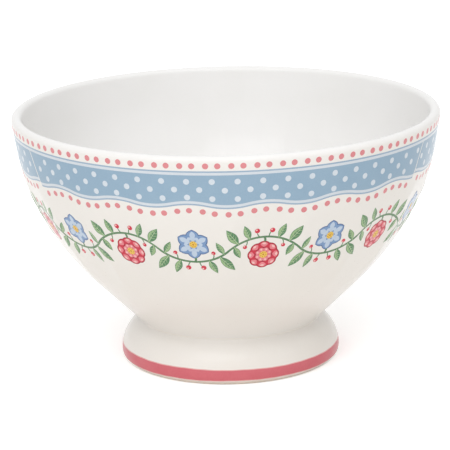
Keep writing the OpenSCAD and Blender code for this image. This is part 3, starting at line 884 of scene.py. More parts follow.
@dataclass
class GlazedWall:
    """The glaze coat over wall, lip and inside, one closed skin round the clay.

    The columns crowd together at the flutes' ridges. The coat's back, which lies against
    the clay, takes only one row in back_stride. Inside, each flute shows as a facet that
    is inner_facet_t deep and fades out towards facet_low_z and facet_top_z.
    """

    skin: WallSkin
    coat_t: float = 0.28 * MM
    floor_z: float = 18.9 * MM
    floor_turn_r: float = 30.0 * MM
    floor_shares: tuple[float, ...] = (0.6, 0.25, 0.06, 0.0)
    upper_steps: int = 13
    belly_steps: int = 25
    turn_steps: int = 13
    lip_steps: int = 14
    back_lip_steps: int = 5
    back_stride: int = 3
    flute_columns: int = 24
    crowding: float = 0.6
    row: float = 1.1 * MM
    inner_facet_t: float = 0.2 * MM
    facet_low_z: float = 28.0 * MM
    facet_top_z: float = 76.0 * MM
    facet_fade: float = 0.7

    def azimuths(self) -> np.ndarray:
        """Works out the columns round the bowl, closer together at the flutes' ridges.

        Returns:
            The columns' degrees from the front.
        """
        share = np.arange(self.flute_columns) / self.flute_columns
        turn = share - self.crowding * np.sin(2 * math.pi * share) / (2 * math.pi)
        starts = np.arange(self.skin.flute_n)[:, None] * self.skin.pitch
        return (starts + turn[None, :] * self.skin.pitch).reshape(-1)

    def inner_path(self, inset: float) -> np.ndarray:
        """Radius and height down the inside, from the lip to the axis.

        Args:
            inset: depth under the glaze's surface.

        Returns:
            One point a row.
        """
        skin, depth = self.skin, self.skin.wall_t - inset
        turn_in = skin.wall_t + self.floor_turn_r
        lean = math.radians(skin.lower_lean)
        centre_z = self.floor_z + self.floor_turn_r
        run = (centre_z - skin.crease_z - turn_in * math.sin(lean)) / math.cos(lean)
        centre_r = skin.crease_r - turn_in * math.cos(lean) + run * math.sin(lean)
        centre = np.array([centre_r, centre_z])
        top = skin.lip_c - (skin.lip_r - inset) * outward(skin.upper_lean)
        low = skin.belly_c + (skin.belly_r - depth) * outward(skin.upper_lean)
        shares = np.linspace(0, 1, self.upper_steps + 1)[1:-1, None]
        upper = top + (low - top) * shares
        belly_leans = np.linspace(skin.upper_lean, skin.lower_lean, self.belly_steps + 1)
        belly = [skin.belly_c + (skin.belly_r - depth) * outward(a) for a in belly_leans]
        turn_leans = np.linspace(skin.lower_lean, 90.0, self.turn_steps + 1)
        turn = [centre + (self.floor_turn_r + inset) * outward(a) for a in turn_leans]
        floor = [[share * turn[-1][0], turn[-1][1]] for share in self.floor_shares]
        return np.concatenate([upper, belly, turn, floor])

    def inner_ring(self, azimuth: np.ndarray, r: float, z: float) -> np.ndarray:
        """One ring of the inside, with the flutes' faint facets.

        Args:
            azimuth: the columns' degrees from the front.
            r: the ring's radius.
            z: the ring's height.

        Returns:
            One point a row, or a single point on the axis.
        """
        if r < ON_AXIS:
            return np.array([[0.0, 0.0, z]])
        place = (z - self.facet_low_z) / (self.facet_top_z - self.facet_low_z)
        fade = math.sin(math.pi * place) ** self.facet_fade if 0 < place < 1 else 0.0
        half = self.skin.pitch / 2
        turn = (np.mod(azimuth, self.skin.pitch) - half) / half
        return placed(azimuth, r - self.inner_facet_t * fade * (1 - turn**2), z)

    def build(self) -> bpy.types.Object:
        """Builds the coat: up the outside, over the lip, down the inside and back within.

        Returns:
            The coat.
        """
        skin, azimuth = self.skin, self.azimuths()
        top_z = skin.lip_c[1] - skin.lip_r * math.sin(math.radians(skin.upper_lean))
        heights = np.linspace(skin.crease_z, top_z, round((top_z - skin.crease_z) / self.row) + 1)
        flat = np.zeros_like(azimuth)
        rings = [skin.points(azimuth, flat + z, flat) for z in heights]
        low, high = -skin.upper_lean, 180.0 - skin.upper_lean
        lip = arc(skin.lip_c, skin.lip_r, low, high, self.lip_steps)[1:]
        rings += [placed(azimuth, r, z) for r, z in lip]
        rings += [self.inner_ring(azimuth, r, z) for r, z in self.inner_path(0.0)]
        back = self.inner_path(self.coat_t)[:: -self.back_stride]
        rings += [self.inner_ring(azimuth, r, z) for r, z in back]
        lip_back = arc(skin.lip_c, skin.lip_r - self.coat_t, high, low, self.back_lip_steps)
        rings += [placed(azimuth, r, z) for r, z in lip_back]
        down = heights[-2 : 0 : -self.back_stride]
        rings += [skin.points(azimuth, flat + z, flat - self.coat_t) for z in down]
        points, faces = lathe(rings)
        return mesh_piece("bowl_glaze_coat", points, faces, [made(WHITE_GLAZE)])

    def dress(self) -> None:
        """Sets the coat on the bowl and finishes the clay and slip under it."""
        settle(self.build(), "glaze", "outside_glaze", "inside_glaze")
        for node, finish in (("bowl_wall", CLAY), ("luting_slip", SLIP)):
            materials = bpy.data.objects[node].data.materials
            materials.clear()
            materials.append(made(finish))
            log.info("%s: CAD solid in %s", node, finish.name)


@dataclass
class Foot:
    """The hollow foot: clay ring, outer coat with its soft crease, and the well's coat.

    The coat ends in a rounded hem over the bare clay at bare_z. At the top it laps onto
    the wall's coat and dips lap_depth into it. The clay ring shows under the hem, and its
    mouth turns down to the table by mouth_turns.
    """

    skin: FootSkin
    columns: int = 360
    well_columns: int = 120
    coat_t: float = 0.3 * MM
    bare_z: float = 1.2 * MM
    hem_r: float = 0.16 * MM
    hem_rise: float = 0.1 * MM
    hem_arc: tuple[float, float] = (240.0, 350.0)
    hem_steps: int = 4
    skin_rise: float = 0.3 * MM
    skin_steps: int = 26
    back_steps: int = 10
    crease_r: float = 0.45 * MM
    crease_steps: int = 10
    wall_lean: float = 45.0
    lap: float = 0.5 * MM
    lap_depth: float = 0.08 * MM
    ring_w: float = 6.9 * MM
    ring_under_steps: int = 12
    ring_steps: int = 8
    ring_well_rows: int = 6
    ring_crisp: float = 60.0
    mouth_z: float = 0.5 * MM
    mouth_turns: tuple[tuple[float, float], ...] = ((0.12 * MM, -0.35 * MM), (0.45 * MM, -0.5 * MM))
    well_draft: float = 4.5 * MM
    well_rows: int = 8
    well_turn_r: float = 2.0 * MM
    well_turn_end: float = 2.0
    well_turn_steps: int = 8
    well_coat_t: float = 0.285 * MM
    ceiling_z: float = 14.0 * MM
    ceiling_rings: tuple[float, float] = (6.0 * MM, 16.0 * MM)
    ceiling_inset: float = 0.6 * MM
    slip_z: float = 13.9 * MM

    def flare(self, low: float, top: float, inset: float, steps: int) -> np.ndarray:
        """Radius and height up the foot's outside."""
        z = np.linspace(low, top, steps + 1)
        return np.stack([self.skin.radius(z, inset), z], axis=1)

    def well_r(self, z: np.ndarray) -> np.ndarray:
        """Radius of the glazed well at heights z."""
        mouth = self.skin.foot_r - self.ring_w
        return mouth - self.well_draft * z / self.skin.foot_h

    def crease_arc(self) -> np.ndarray:
        """Works out the soft crease, from the foot onto the wall.

        Returns:
            Radius and height, one point a row.
        """
        neck = np.array([self.skin.neck_r, self.skin.foot_h])
        sine = (self.skin.foot_h - self.skin.swell_z) / self.skin.flare_r
        down = np.array([sine, -math.sqrt(1 - sine**2)])
        up = heading(self.wall_lean)
        half = math.acos(float(down @ up)) / 2
        middle = (down + up) / np.linalg.norm(down + up)
        centre = neck + middle * self.crease_r / math.sin(half)
        reach = self.crease_r / math.tan(half)
        start, end = neck + down * reach - centre, neck + up * reach - centre
        first = math.degrees(math.atan2(start[1], start[0])) % 360.0
        last = math.degrees(math.atan2(end[1], end[0])) % 360.0
        return arc(centre, self.crease_r, first, last, self.crease_steps)

    def coat(self) -> bpy.types.Object:
        """Builds the coat round the foot, from its hem up to the wall.

        Returns:
            The coat.
        """
        crease = self.crease_arc()
        edge_r = float(self.skin.radius(np.array(self.bare_z)))
        hem_c = np.array([edge_r - self.hem_r, self.bare_z + self.hem_rise])
        hem = arc(hem_c, self.hem_r, *self.hem_arc, self.hem_steps)
        low_z = self.bare_z + self.skin_rise
        outside = self.flare(low_z, float(crease[0, 1]), 0.0, self.skin_steps)
        lap = crease[-1] + self.lap * heading(self.wall_lean) - self.lap_depth * outward(self.wall_lean)
        inside = self.flare(low_z, self.slip_z, self.coat_t, self.back_steps)[::-1]
        path = np.concatenate([hem, outside, crease[1:], lap[None, :], inside])
        points, faces = lathe(turned(path, self.columns))
        return mesh_piece("foot_glaze_coat", points, faces, [made(FOOT_GLAZE)])

    def ring(self) -> bpy.types.Object:
        """Builds the clay ring, bare where it stands.

        Returns:
            The ring.
        """
        under = self.flare(0.0, self.skin.swell_z, self.coat_t, self.ring_under_steps)
        outside = self.flare(self.skin.swell_z, self.slip_z, self.coat_t, self.ring_steps)[1:]
        z = np.linspace(self.slip_z, self.mouth_z, self.ring_well_rows)
        well = np.stack([self.well_r(z) + self.coat_t, z], axis=1)
        mouth = well[-1] + np.array(self.mouth_turns)
        path = np.concatenate([under, outside, well, mouth])
        points, faces = lathe(turned(path, self.columns))
        return mesh_piece("foot_ring_clay", points, faces, [made(CLAY)], crisp=self.ring_crisp)

    def well(self) -> bpy.types.Object:
        """Builds the coat in the hollow under the foot.

        Returns:
            The coat.
        """
        turn_z = self.ceiling_z - self.well_turn_r
        z = np.linspace(turn_z, self.bare_z, self.well_rows)
        side = np.stack([self.well_r(z), z], axis=1)
        turn_c = np.array([side[0, 0] - self.well_turn_r, turn_z])
        turn = arc(turn_c, self.well_turn_r, 90.0, self.well_turn_end, self.well_turn_steps)
        near, far = self.ceiling_rings
        flat = np.array([[0.0, self.ceiling_z], [near, self.ceiling_z], [far, self.ceiling_z]])
        back = side[::-1] + np.array([self.well_coat_t, 0.0])
        high = self.ceiling_z + self.well_coat_t
        over = np.array([[back[-1, 0] - self.ceiling_inset, high], [near, high], [0.0, high]])
        path = np.concatenate([flat, turn, side, back, over])
        points, faces = lathe(turned(path, self.well_columns))
        return mesh_piece("well_glaze_coat", points, faces, [made(FOOT_GLAZE)])

    def dress(self) -> None:
        """Sets the foot's three pieces in place."""
        settle(self.coat(), "glaze", "foot_glaze")
        settle(self.ring(), "clay", "foot_ring")
        settle(self.well(), "glaze", "well_glaze")


class Transfer(Enum):
    """The three printed transfers that make up the rim band."""

    FRONT = 0
    RIGHT = 1
    LEFT = -1


@dataclass
class RimBand:
    """The printed rim: dots, thin lines and the scalloped band in three transfers.

    Drops are measured down from the rim or the band's top, and gaps down from the band's
    scalloped edge. The seams lean by seam_lean degrees. The edge hangs lowest at azimuth
    0 on the front transfer, and at half a scallop from there on the others.
    """

    skin: WallSkin
    line_drop: float = 4.6 * MM
    line_w: float = 0.5 * MM
    line_gap: float = 0.9 * MM
    band_h: float = 8.8 * MM
    scallop_drop: float = 1.4 * MM
    scallop_n: int = 18
    front_angle: float = 124.0
    seam_gap: float = 0.6 * MM
    seam_lean: float = 21.0
    seam_rounds: int = 4
    pink_dot_d: float = 2.0 * MM
    rim_dots_drop: float = 2.9 * MM
    rim_dot_n: int = 112
    scallop_dots_gap: float = 3.4 * MM
    scallop_dot_n: int = 6
    pair_share: float = 0.036
    white_dot_d: float = 2.0 * MM
    white_dot_n: int = 56
    white_rows: int = 3
    white_row_drop: float = 2.2 * MM
    white_row_pitch: float = 2.85 * MM
    wave_share: float = 0.25
    dot_turn: float = -0.7
    column: float = 0.8
    band_rows: tuple[float, ...] = (0.0, 0.12, 0.3, 0.6, 1.0)
    line_rows: tuple[float, ...] = (0.0, 1.0)
    lift: float = 0.03 * MM
    dot_lift: float = 0.045 * MM
    band_top: float = field(init=False)
    crest_z: float = field(init=False)
    low_z: float = field(init=False)

    def __post_init__(self) -> None:
        """Works out the band's heights."""
        self.band_top = self.skin.height - self.line_drop - self.line_w - self.line_gap
        self.crest_z = self.band_top - self.band_h
        self.low_z = self.crest_z - self.scallop_drop

    @property
    def pitch(self) -> float:
        """Angle from one scallop to the next."""
        return 360.0 / self.scallop_n

    def band_turn(self, length: float | np.ndarray) -> float | np.ndarray:
        """Angle round the bowl of a length on the band."""
        return np.degrees(length / float(self.skin.plain_r(np.array(self.low_z))))

    def edge_z(self, azimuth: np.ndarray, below: float, side: Transfer | None = None) -> np.ndarray:
        """Height of an edge that follows the band's scallops.

        Args:
            azimuth: degrees from the front.
            below: distance of the edge below the band's own.
            side: the transfer that it is on, or none to go by the azimuth.

        Returns:
            The heights.
        """
        front = np.abs(azimuth) < self.front_angle / 2 if side is None else side is Transfer.FRONT
        on_front = np.mod(azimuth, self.pitch) - self.pitch / 2
        on_side = azimuth - self.pitch * np.round(azimuth / self.pitch)
        turn = np.abs(np.where(front, on_front, on_side))
        middle = float(self.skin.plain_r(np.array((self.crest_z + self.low_z) / 2)))
        half = middle * math.sin(math.radians(self.pitch / 2))
        radius = (half**2 + self.scallop_drop**2) / (4 * self.scallop_drop)
        u = half * np.sin(np.radians(turn)) / math.sin(math.radians(self.pitch / 2))
        meet = (radius - below) / (2 * radius) * half
        crest = self.crest_z - radius + np.sqrt(np.maximum((radius - below) ** 2 - u**2, 0.0))
        low = self.low_z + radius - np.sqrt(np.maximum((radius + below) ** 2 - (half - u) ** 2, 0.0))
        return np.where(u < meet, crest, low)

    def seam(self, z: np.ndarray) -> np.ndarray:
        """Azimuth of the leaning seam on the right.

        Args:
            z: heights.

        Returns:
            The seam's degrees from the front.
        """
        middle = self.band_top - self.band_h / 2
        slope = math.tan(math.radians(self.seam_lean))
        return self.front_angle / 2 + self.band_turn((z - middle) * slope)

    def ends(self, side: Transfer, z: np.ndarray) -> tuple[np.ndarray, np.ndarray]:
        """Azimuths of a transfer's two ends.

        Args:
            side: the transfer.
            z: heights.

        Returns:
            The left and the right end's degrees from the front.
        """
        gap = self.band_turn(self.seam_gap / 2)
        if side is Transfer.FRONT:
            return gap - self.seam(z), self.seam(z) - gap
        near, far = self.seam(z) + gap, np.full_like(z, 180.0) - gap
        return (near, far) if side is Transfer.RIGHT else (-far, -near)

    def strip(self, film: Film, side: Transfer, below: float, above: float | None, slot: int) -> None:
        """Lays one transfer's strip, up from its scalloped lower edge.

        Args:
            film: the film that takes it.
            side: the transfer.
            below: distance of its lower edge below the band's.
            above: distance of its upper edge below the band's, or none for the band's top.
            slot: the film's material.
        """
        rows = np.array(self.band_rows if above is None else self.line_rows)
        reach = self.front_angle if side is Transfer.FRONT else 180.0 - self.front_angle / 2
        share = np.linspace(0.0, 1.0, round(reach / self.column) + 1)
        left, right = self.ends(side, np.full_like(share, self.crest_z))
        azimuth = np.tile(left + share * (right - left), (len(rows), 1))
        z = azimuth
        for _ in range(self.seam_rounds):
            low = self.edge_z(azimuth, below, side)
            top = self.band_top if above is None else self.edge_z(azimuth, above, side)
            z = low + rows[:, None] * (top - low)
            left, right = self.ends(side, z)
            azimuth = left + share * (right - left)
        film.grid(azimuth, z, self.lift, slot)

    def clear_of_seams(self, azimuth: float, z: float, radius: float) -> bool:
        """Tells whether a dot lies clear of the seams between transfers.

        Args:
            azimuth: its middle's degrees from the front.
            z: its middle's height.
            radius: its radius.

        Returns:
            True where it is clear of them.
        """
        near = self.band_turn(radius + self.seam_gap)
        seam = float(self.seam(np.array(z)))
        return abs(abs(azimuth) - seam) > near and 180.0 - abs(azimuth) > near

    def paired(self, step: int, count: int) -> float:
        """Azimuth of a pink dot, drawn a little towards its partner."""
        towards = 1 if (step - count // 2) % 2 == 0 else -1
        return 360.0 * (step - count // 2 + towards * self.pair_share) / count

    def band(self, side: Transfer) -> bpy.types.Object:
        """Builds one transfer of the blue band.

        Args:
            side: the transfer.

        Returns:
            The print.
        """
        film = Film(self.skin)
        self.strip(film, side, below=0.0, above=None, slot=0)
        return film.piece(f"band_{side.name.lower()}_print", BAND_BLUE)

    def upper_line(self) -> bpy.types.Object:
        """Builds the thin line over the band, and the pale gap beside it.

        Returns:
            The print.
        """
        film = Film(self.skin)
        azimuth = np.tile(np.arange(0.0, 360.0, self.column), (2, 1))
        top = self.skin.height - self.line_drop
        z = np.array([[top - self.line_w], [top]]) + 0 * azimuth
        film.grid(azimuth, z, self.lift, wraps=True)
        gap = z - np.array([[self.line_gap], [self.line_w]])
        film.grid(azimuth, gap, self.lift, slot=1, wraps=True)
        return film.piece("upper_line_print", LINE_BLUE, GAP_PALE)

    def lower_line(self) -> bpy.types.Object:
        """Builds the thin line under the band's scallops, and the pale gap beside it.

        Returns:
            The print.
        """
        film = Film(self.skin)
        for side in Transfer:
            self.strip(film, side, self.line_gap + self.line_w, self.line_gap, slot=0)
            self.strip(film, side, self.line_gap, 0.0, slot=1)
        return film.piece("lower_line_print", LINE_BLUE, GAP_PALE)

    def rim_dots(self) -> bpy.types.Object:
        """Builds the row of pink dots under the rim.

        Returns:
            The print.
        """
        film = Film(self.skin)
        turn = self.dot_turn + 180.0 / self.white_dot_n - 180.0 / self.rim_dot_n
        for i in range(self.rim_dot_n):
            azimuth = self.paired(i, self.rim_dot_n) + turn
            film.disc(azimuth, self.skin.height - self.rim_dots_drop, self.pink_dot_d, self.lift)
        return film.piece("rim_dots_print", DOT_PINK)

    def scallop_dots(self) -> bpy.types.Object:
        """Builds the row of pink dots under the scallops.

        Returns:
            The print.
        """
        film = Film(self.skin)
        count = self.scallop_dot_n * self.scallop_n
        for i in range(count):
            azimuth = self.paired(i, count)
            z = float(self.edge_z(np.array(azimuth), self.scallop_dots_gap))
            if self.clear_of_seams(azimuth, z, self.pink_dot_d / 2):
                film.disc(azimuth, z, self.pink_dot_d, self.lift)
        return film.piece("scallop_dots_print", DOT_PINK)

    def white_dots(self) -> bpy.types.Object:
        """Builds the rows of white dots on the band, every other row half a step along.

        Returns:
            The print.
        """
        film = Film(self.skin)
        for row in range(self.white_rows):
            for i in range(self.white_dot_n):
                step = i - self.white_dot_n // 2 - (0.0 if row % 2 else 0.5)
                azimuth = 360.0 * step / self.white_dot_n + self.dot_turn
                wave = float(self.edge_z(np.array(azimuth), 0.0)) - (self.crest_z + self.low_z) / 2
                drop = row * (self.white_row_pitch - self.wave_share * wave)
                z = self.band_top - self.white_row_drop - drop
                if self.clear_of_seams(azimuth, z, self.white_dot_d / 2):
                    film.disc(azimuth, z, self.white_dot_d, self.dot_lift)
        return film.piece("band_dots_print", DOT_WHITE)

    def dress(self) -> None:
        """Sets the printed rim on the wall."""
        for side in Transfer:
            settle(self.band(side), "band_blue", f"band_{side.name.lower()}")
        settle(self.upper_line(), "line_blue", "upper_line")
        settle(self.lower_line(), "line_blue", "lower_line")
        settle(self.rim_dots(), "dot_pink", "rim_dots")
        settle(self.scallop_dots(), "dot_pink", "scallop_dots")
        settle(self.white_dots(), "dot_white", "band_dots")


def swell(share: np.ndarray | float, belly: float) -> np.ndarray | float:
    """Half width of a blade at a share of its length, from 0 at its ends to 1 at its belly."""
    return np.sin(math.pi * share ** (math.log(0.5) / math.log(belly)))


def blade(
    length: float, width: float, belly: float = 0.5, points: int = 12, tip: float = 1.0
) -> np.ndarray:
    """Outline of a leaf or petal that starts at 0 and points along U, counterclockwise.

    Args:
        length: from stalk to tip.
        width: at its widest.
        belly: where it is widest, as a share of the length.
        points: steps down each side.
        tip: under 1 rounds the two ends.

    Returns:
        One point a row.
    """
    share = np.linspace(0.0, 1.0, points + 1)
    half = width / 2 * swell(share, belly) ** tip
    half[0] = half[-1] = 0.0
    lower = np.stack([share * length, -half], axis=1)
    upper = np.stack([share * length, half], axis=1)[-2:0:-1]
    return np.concatenate([lower, upper])


def spun(points: np.ndarray, turn: float) -> np.ndarray:
    """Turns flat points by some degrees."""
    cosine, sine = math.cos(math.radians(turn)), math.sin(math.radians(turn))
    return points @ np.array([[cosine, sine], [-sine, cosine]])


def round_outline(
    diameter: float, points: int, petals: int = 1, notch: float = 0.0, narrow: float = 1.3
) -> np.ndarray:
    """Outline of a disc, or of a round blossom whose edge swells in petals.

    Args:
        diameter: across the petals.
        points: corners of the outline.
        petals: petals round the edge.
        notch: depth between petals, as a share of the radius.
        narrow: the higher, the narrower the notches.

    Returns:
        One point a row.
    """
    turn = np.radians(np.arange(points) * 360.0 / points)
    radius = diameter / 2 * (1 - notch * (1 - np.abs(np.cos(petals * turn / 2))) ** narrow)
    return np.stack([radius * np.cos(turn), radius * np.sin(turn)], axis=1)


class Print(Enum):
    """The garland's films, one for each CAD node."""

    STEMS = "garland_stems"
    LEAVES = "garland_leaves"
    ROUND_PETALS = "round_petals"
    ROUND_HEARTS = "round_hearts"
    STAR_PETALS = "star_petals"
    STAR_HEARTS = "star_hearts"
    EYES = "blossom_eyes"
    BERRIES = "garland_berries"


@dataclass(frozen=True)
class Sprig:
    """Where a leaf or a twig leaves the stem, and how.

    The place is a share of half a flute's width, the turn is in degrees from level, and
    the size is a share of a full leaf's or berry's.
    """

    place: float
    turn: float
    size: float


@dataclass(frozen=True)
class Petal:
    """One ring of a blossom's petals: their shape, and their place in the print.

    Length and start are shares of the blossom's radius, and the width is a share of its
    breadth, less a trim.
    """

    length: float
    width: float
    start: float
    layers: int
    slot: int
    trim: float = 0.0
    belly: float = 0.6
    points: int = 10
    tip: float = 0.8

    def outline(self, reach: float, breadth: float) -> np.ndarray:
        """Outline of one petal, pointing along U from the blossom's middle.

        Args:
            reach: the blossom's radius.
            breadth: the blossom's radius, or the width of a star's petal.

        Returns:
            One flat point a row.
        """
        width = self.width * breadth - self.trim
        petal = blade(self.length * reach, width, self.belly, self.points, self.tip)
        return petal + np.array([self.start * reach, 0.0])


@dataclass(frozen=True)
class LeafShape:
    """The garland's leaves: a dark blade, a lit upper half, a midrib and side veins.

    The lit half, the midrib and the veins are shares of the leaf's length and width.
    """

    length: float = 7.0 * MM
    width: float = 3.0 * MM
    belly: float = 0.46
    lit_start: float = 0.02
    lit_length: float = 0.94
    lit_width: float = 0.86
    rib_length: float = 0.86
    rib_points: int = 8
    rib_ws: tuple[float, float] = (0.26 * MM, 0.1 * MM)
    vein_starts: tuple[float, ...] = (0.3, 0.48, 0.66)
    vein_path: tuple[tuple[float, float], ...] = ((0.0, 0.0), (0.07, 0.5), (0.15, 0.82))
    vein_ws: tuple[float, ...] = (0.14 * MM, 0.1 * MM, 0.06 * MM)


TWIGS = (
    Sprig(place=-0.14, turn=112.0, size=1.0),
    Sprig(place=0.12, turn=66.0, size=1.0),
    Sprig(place=-0.5, turn=-102.0, size=0.8),
    Sprig(place=0.5, turn=-78.0, size=0.8),
)
LEAVES = (
    Sprig(place=-0.74, turn=128.0, size=1.0),
    Sprig(place=-0.42, turn=112.0, size=0.8),
    Sprig(place=0.4, turn=66.0, size=0.8),
    Sprig(place=0.72, turn=50.0, size=1.0),
    Sprig(place=-0.86, turn=-62.0, size=0.72),
    Sprig(place=0.86, turn=-118.0, size=0.72),
)
ROUND_RINGS = (
    Petal(length=0.60, width=0.66, start=0.36, layers=2, slot=1, belly=0.62, points=7, tip=0.62),
    Petal(length=0.36, width=0.46, start=0.56, layers=3, slot=2, belly=0.62, points=7, tip=0.62),
    Petal(length=0.16, width=0.26, start=0.74, layers=4, slot=3, belly=0.62, points=7, tip=0.62),
)
ROUND_HEART_RINGS = (
    Petal(length=0.62, width=0.62, start=0.34, layers=6, slot=1, points=6, tip=0.62),
    Petal(length=0.3, width=0.26, start=0.56, layers=7, slot=2, points=5, tip=0.7),
)
STAR_RINGS = (
    Petal(length=1.0, width=1.0, start=0.0, layers=1, slot=0),
    Petal(length=0.92, width=1.0, start=0.03, layers=2, slot=1, trim=0.5 * MM),
    Petal(length=0.62, width=0.42, start=0.26, layers=3, slot=2),
)
STAR_HEART = Petal(length=1.0, width=1.0, start=0.0, layers=4, slot=0, belly=0.55, points=7)
STAR_HEART_SHADE = Petal(length=0.36, width=0.2, start=0.0, layers=5, slot=1, points=5)
GARLAND_LOOKS = (
    (Print.STEMS, "stem_green", (STEM_GREEN,)),
    (Print.LEAVES, "leaf_green", (LEAF_DARK, LEAF_LIGHT, LEAF_VEIN)),
    (Print.ROUND_PETALS, "petal_red", (RED_DEEP, RED_BRIGHT, ROSE, ROSE_PALE)),
    (Print.ROUND_HEARTS, "petal_rose", (RED_DEEP, ROSE, ROSE_PALE)),
    (Print.STAR_PETALS, "petal_blue", (BLUE_DEEP, BLUE_MID, BLUE_PALE)),
    (Print.STAR_HEARTS, "petal_pale_blue", (BLUE_PALE, BLUE_MID)),
    (Print.EYES, "eye_yellow", (YELLOW, OCHRE)),
    (Print.BERRIES, "petal_red", (RED_BRIGHT, ROSE_PALE)),
)


@dataclass
class Garland:
    """A running garland, printed in rises and dips, one to a flute.

    Its flat points lie on a flute, U across it and V up from the middle line. A dip is a
    rise turned upside down. A blossom's middle lies sink under the middle line. Each
    layer of print lies a layer's thickness higher than the one under it.
    """

    skin: WallSkin
    leaf_shape: LeafShape = LeafShape()
    middle_z: float = 55.5 * MM
    rise: float = 4.6 * MM
    stem_w: float = 0.7 * MM
    stem_points: int = 61
    stalk_overlap: float = 0.6 * MM
    stalk_end: float = 0.2 * MM
    stalk_sway: float = 0.25 * MM
    stalk_points: int = 8
    twig_l: float = 2.6 * MM
    twig_bend: float = 0.3 * MM
    twig_ws: tuple[float, float] = (0.4 * MM, 0.24 * MM)
    twig_points: int = 7
    berry_d: float = 1.7 * MM
    berry_points: int = 18
    glint_share: float = 0.36
    glint_place: tuple[float, float] = (-0.16, 0.18)
    sink: float = 2.2 * MM
    round_d: float = 10.4 * MM
    round_petals: int = 8
    round_notch: float = 0.09
    round_points: int = 72
    round_heart_points: int = 48
    star_d: float = 11.2 * MM
    star_petals: int = 6
    star_petal_w: float = 4.4 * MM
    heart_share: float = 0.56
    eye_d: float = 2.6 * MM
    eye_points: int = 28
    stamens: int = 7
    stamen_ring: float = 0.33
    stamen_d: float = 0.42 * MM
    stamen_points: int = 8
    eye_middle_d: float = 0.7 * MM
    eye_middle_points: int = 12
    base: float = 0.03 * MM
    layer: float = 0.009 * MM
    films: dict[Print, Film] = field(init=False)
    half: float = field(init=False)
    centre: np.ndarray = field(init=False)

    def __post_init__(self) -> None:
        """Works out half a flute's width and a blossom's middle, and starts the films."""
        turn = math.radians(self.skin.pitch / 2)
        self.half = float(self.skin.flute_r(np.array(self.middle_z))) * math.tan(turn)
        self.centre = np.array([0.0, -self.sink])
        self.films = {kind: Film(self.skin) for kind in Print}

    def lift(self, layers: int) -> float:
        """Distance off the wall of a film that lies over some layers."""
        return self.base + layers * self.layer

    def stem_v(self, u: float | np.ndarray) -> float | np.ndarray:
        """Height of the stem over the garland's middle line, across a rise."""
        radius = (self.half**2 + self.rise**2) / (2 * self.rise)
        return np.sqrt(radius**2 - np.square(u)) - radius + self.rise

    def stem_point(self, place: float) -> np.ndarray:
        """Flat point on the stem at a share of half the flute's width."""
        return np.array([place * self.half, float(self.stem_v(place * self.half))])

    def spots(self, points: np.ndarray, flute: int) -> np.ndarray:
        """Turns flat points on a flute into spots, upside down on a dip.

        Args:
            points: one flat point a row.
            flute: the flute's number, a rise where it is even.

        Returns:
            Azimuth and height, one spot a row.
        """
        z = self.middle_z + (1 if flute % 2 == 0 else -1) * points[:, 1]
        across = np.degrees(np.arctan2(points[:, 0], self.skin.flute_r(z)))
        return np.stack([self.skin.pitch * (flute + 0.5) + across, z], axis=1)

    def plate(
        self,
        kind: Print,
        flute: int,
        outline: np.ndarray,
        layers: int,
        slot: int,
        middle: np.ndarray | None = None,
    ) -> None:
        """Prints a filled outline on a flute.

        Args:
            kind: the film that takes it.
            flute: the flute's number.
            outline: its flat points, counterclockwise.
            layers: layers of print under it.
            slot: the film's material.
            middle: a flat point that sees all of it, or none for the points' mean.
        """
        if middle is None:
            middle = outline.mean(axis=0)
        spots = self.spots(outline, flute)
        if flute % 2:
            spots = spots[::-1]
        centre = self.spots(middle[None, :], flute)[0]
        self.films[kind].plate(spots, centre, self.lift(layers), slot)

    def stroke(
        self, kind: Print, flute: int, path: np.ndarray, widths: np.ndarray, layers: int, slot: int
    ) -> None:
        """Prints a line along a path.

        Args:
            kind: the film that takes it.
            flute: the flute's number.
            path: its flat points.
            widths: how wide it is at each point.
            layers: layers of print under it.
            slot: the film's material.
        """
        along = np.gradient(path, axis=0)
        normal = np.stack([-along[:, 1], along[:, 0]], axis=1)
        normal /= np.linalg.norm(normal, axis=1)[:, None]
        if flute % 2:
            normal = -normal
        edges = [self.spots(path + side * widths[:, None] / 2 * normal, flute) for side in (-1, 1)]
        grid = np.stack(edges)
        self.films[kind].grid(grid[..., 0], grid[..., 1], self.lift(layers), slot)

    def dot(
        self,
        kind: Print,
        flute: int,
        diameter: float,
        points: int,
        centre: np.ndarray,
        layers: int,
        slot: int,
    ) -> None:
        """Prints a disc.

        Args:
            kind: the film that takes it.
            flute: the flute's number.
            diameter: its diameter.
            points: its corners.
            centre: its flat middle.
            layers: layers of print under it.
            slot: the film's material.
        """
        self.plate(kind, flute, round_outline(diameter, points) + centre, layers, slot, centre)

    def whorl(
        self,
        kind: Print,
        flute: int,
        count: int,
        first: float,
        petal: Petal,
        reach: float,
        breadth: float,
    ) -> None:
        """Prints a ring of petals round a blossom's middle.

        Args:
            kind: the film that takes them.
            flute: the flute's number.
            count: petals in the ring.
            first: the first petal's turn, in degrees from level.
            petal: their shape and their place in the print.
            reach: the blossom's radius.
            breadth: the blossom's radius, or the width of a star's petal.
        """
        flat = petal.outline(reach, breadth)
        for i in range(count):
            outline = spun(flat, first + 360.0 * i / count) + self.centre
            self.plate(kind, flute, outline, petal.layers, petal.slot)

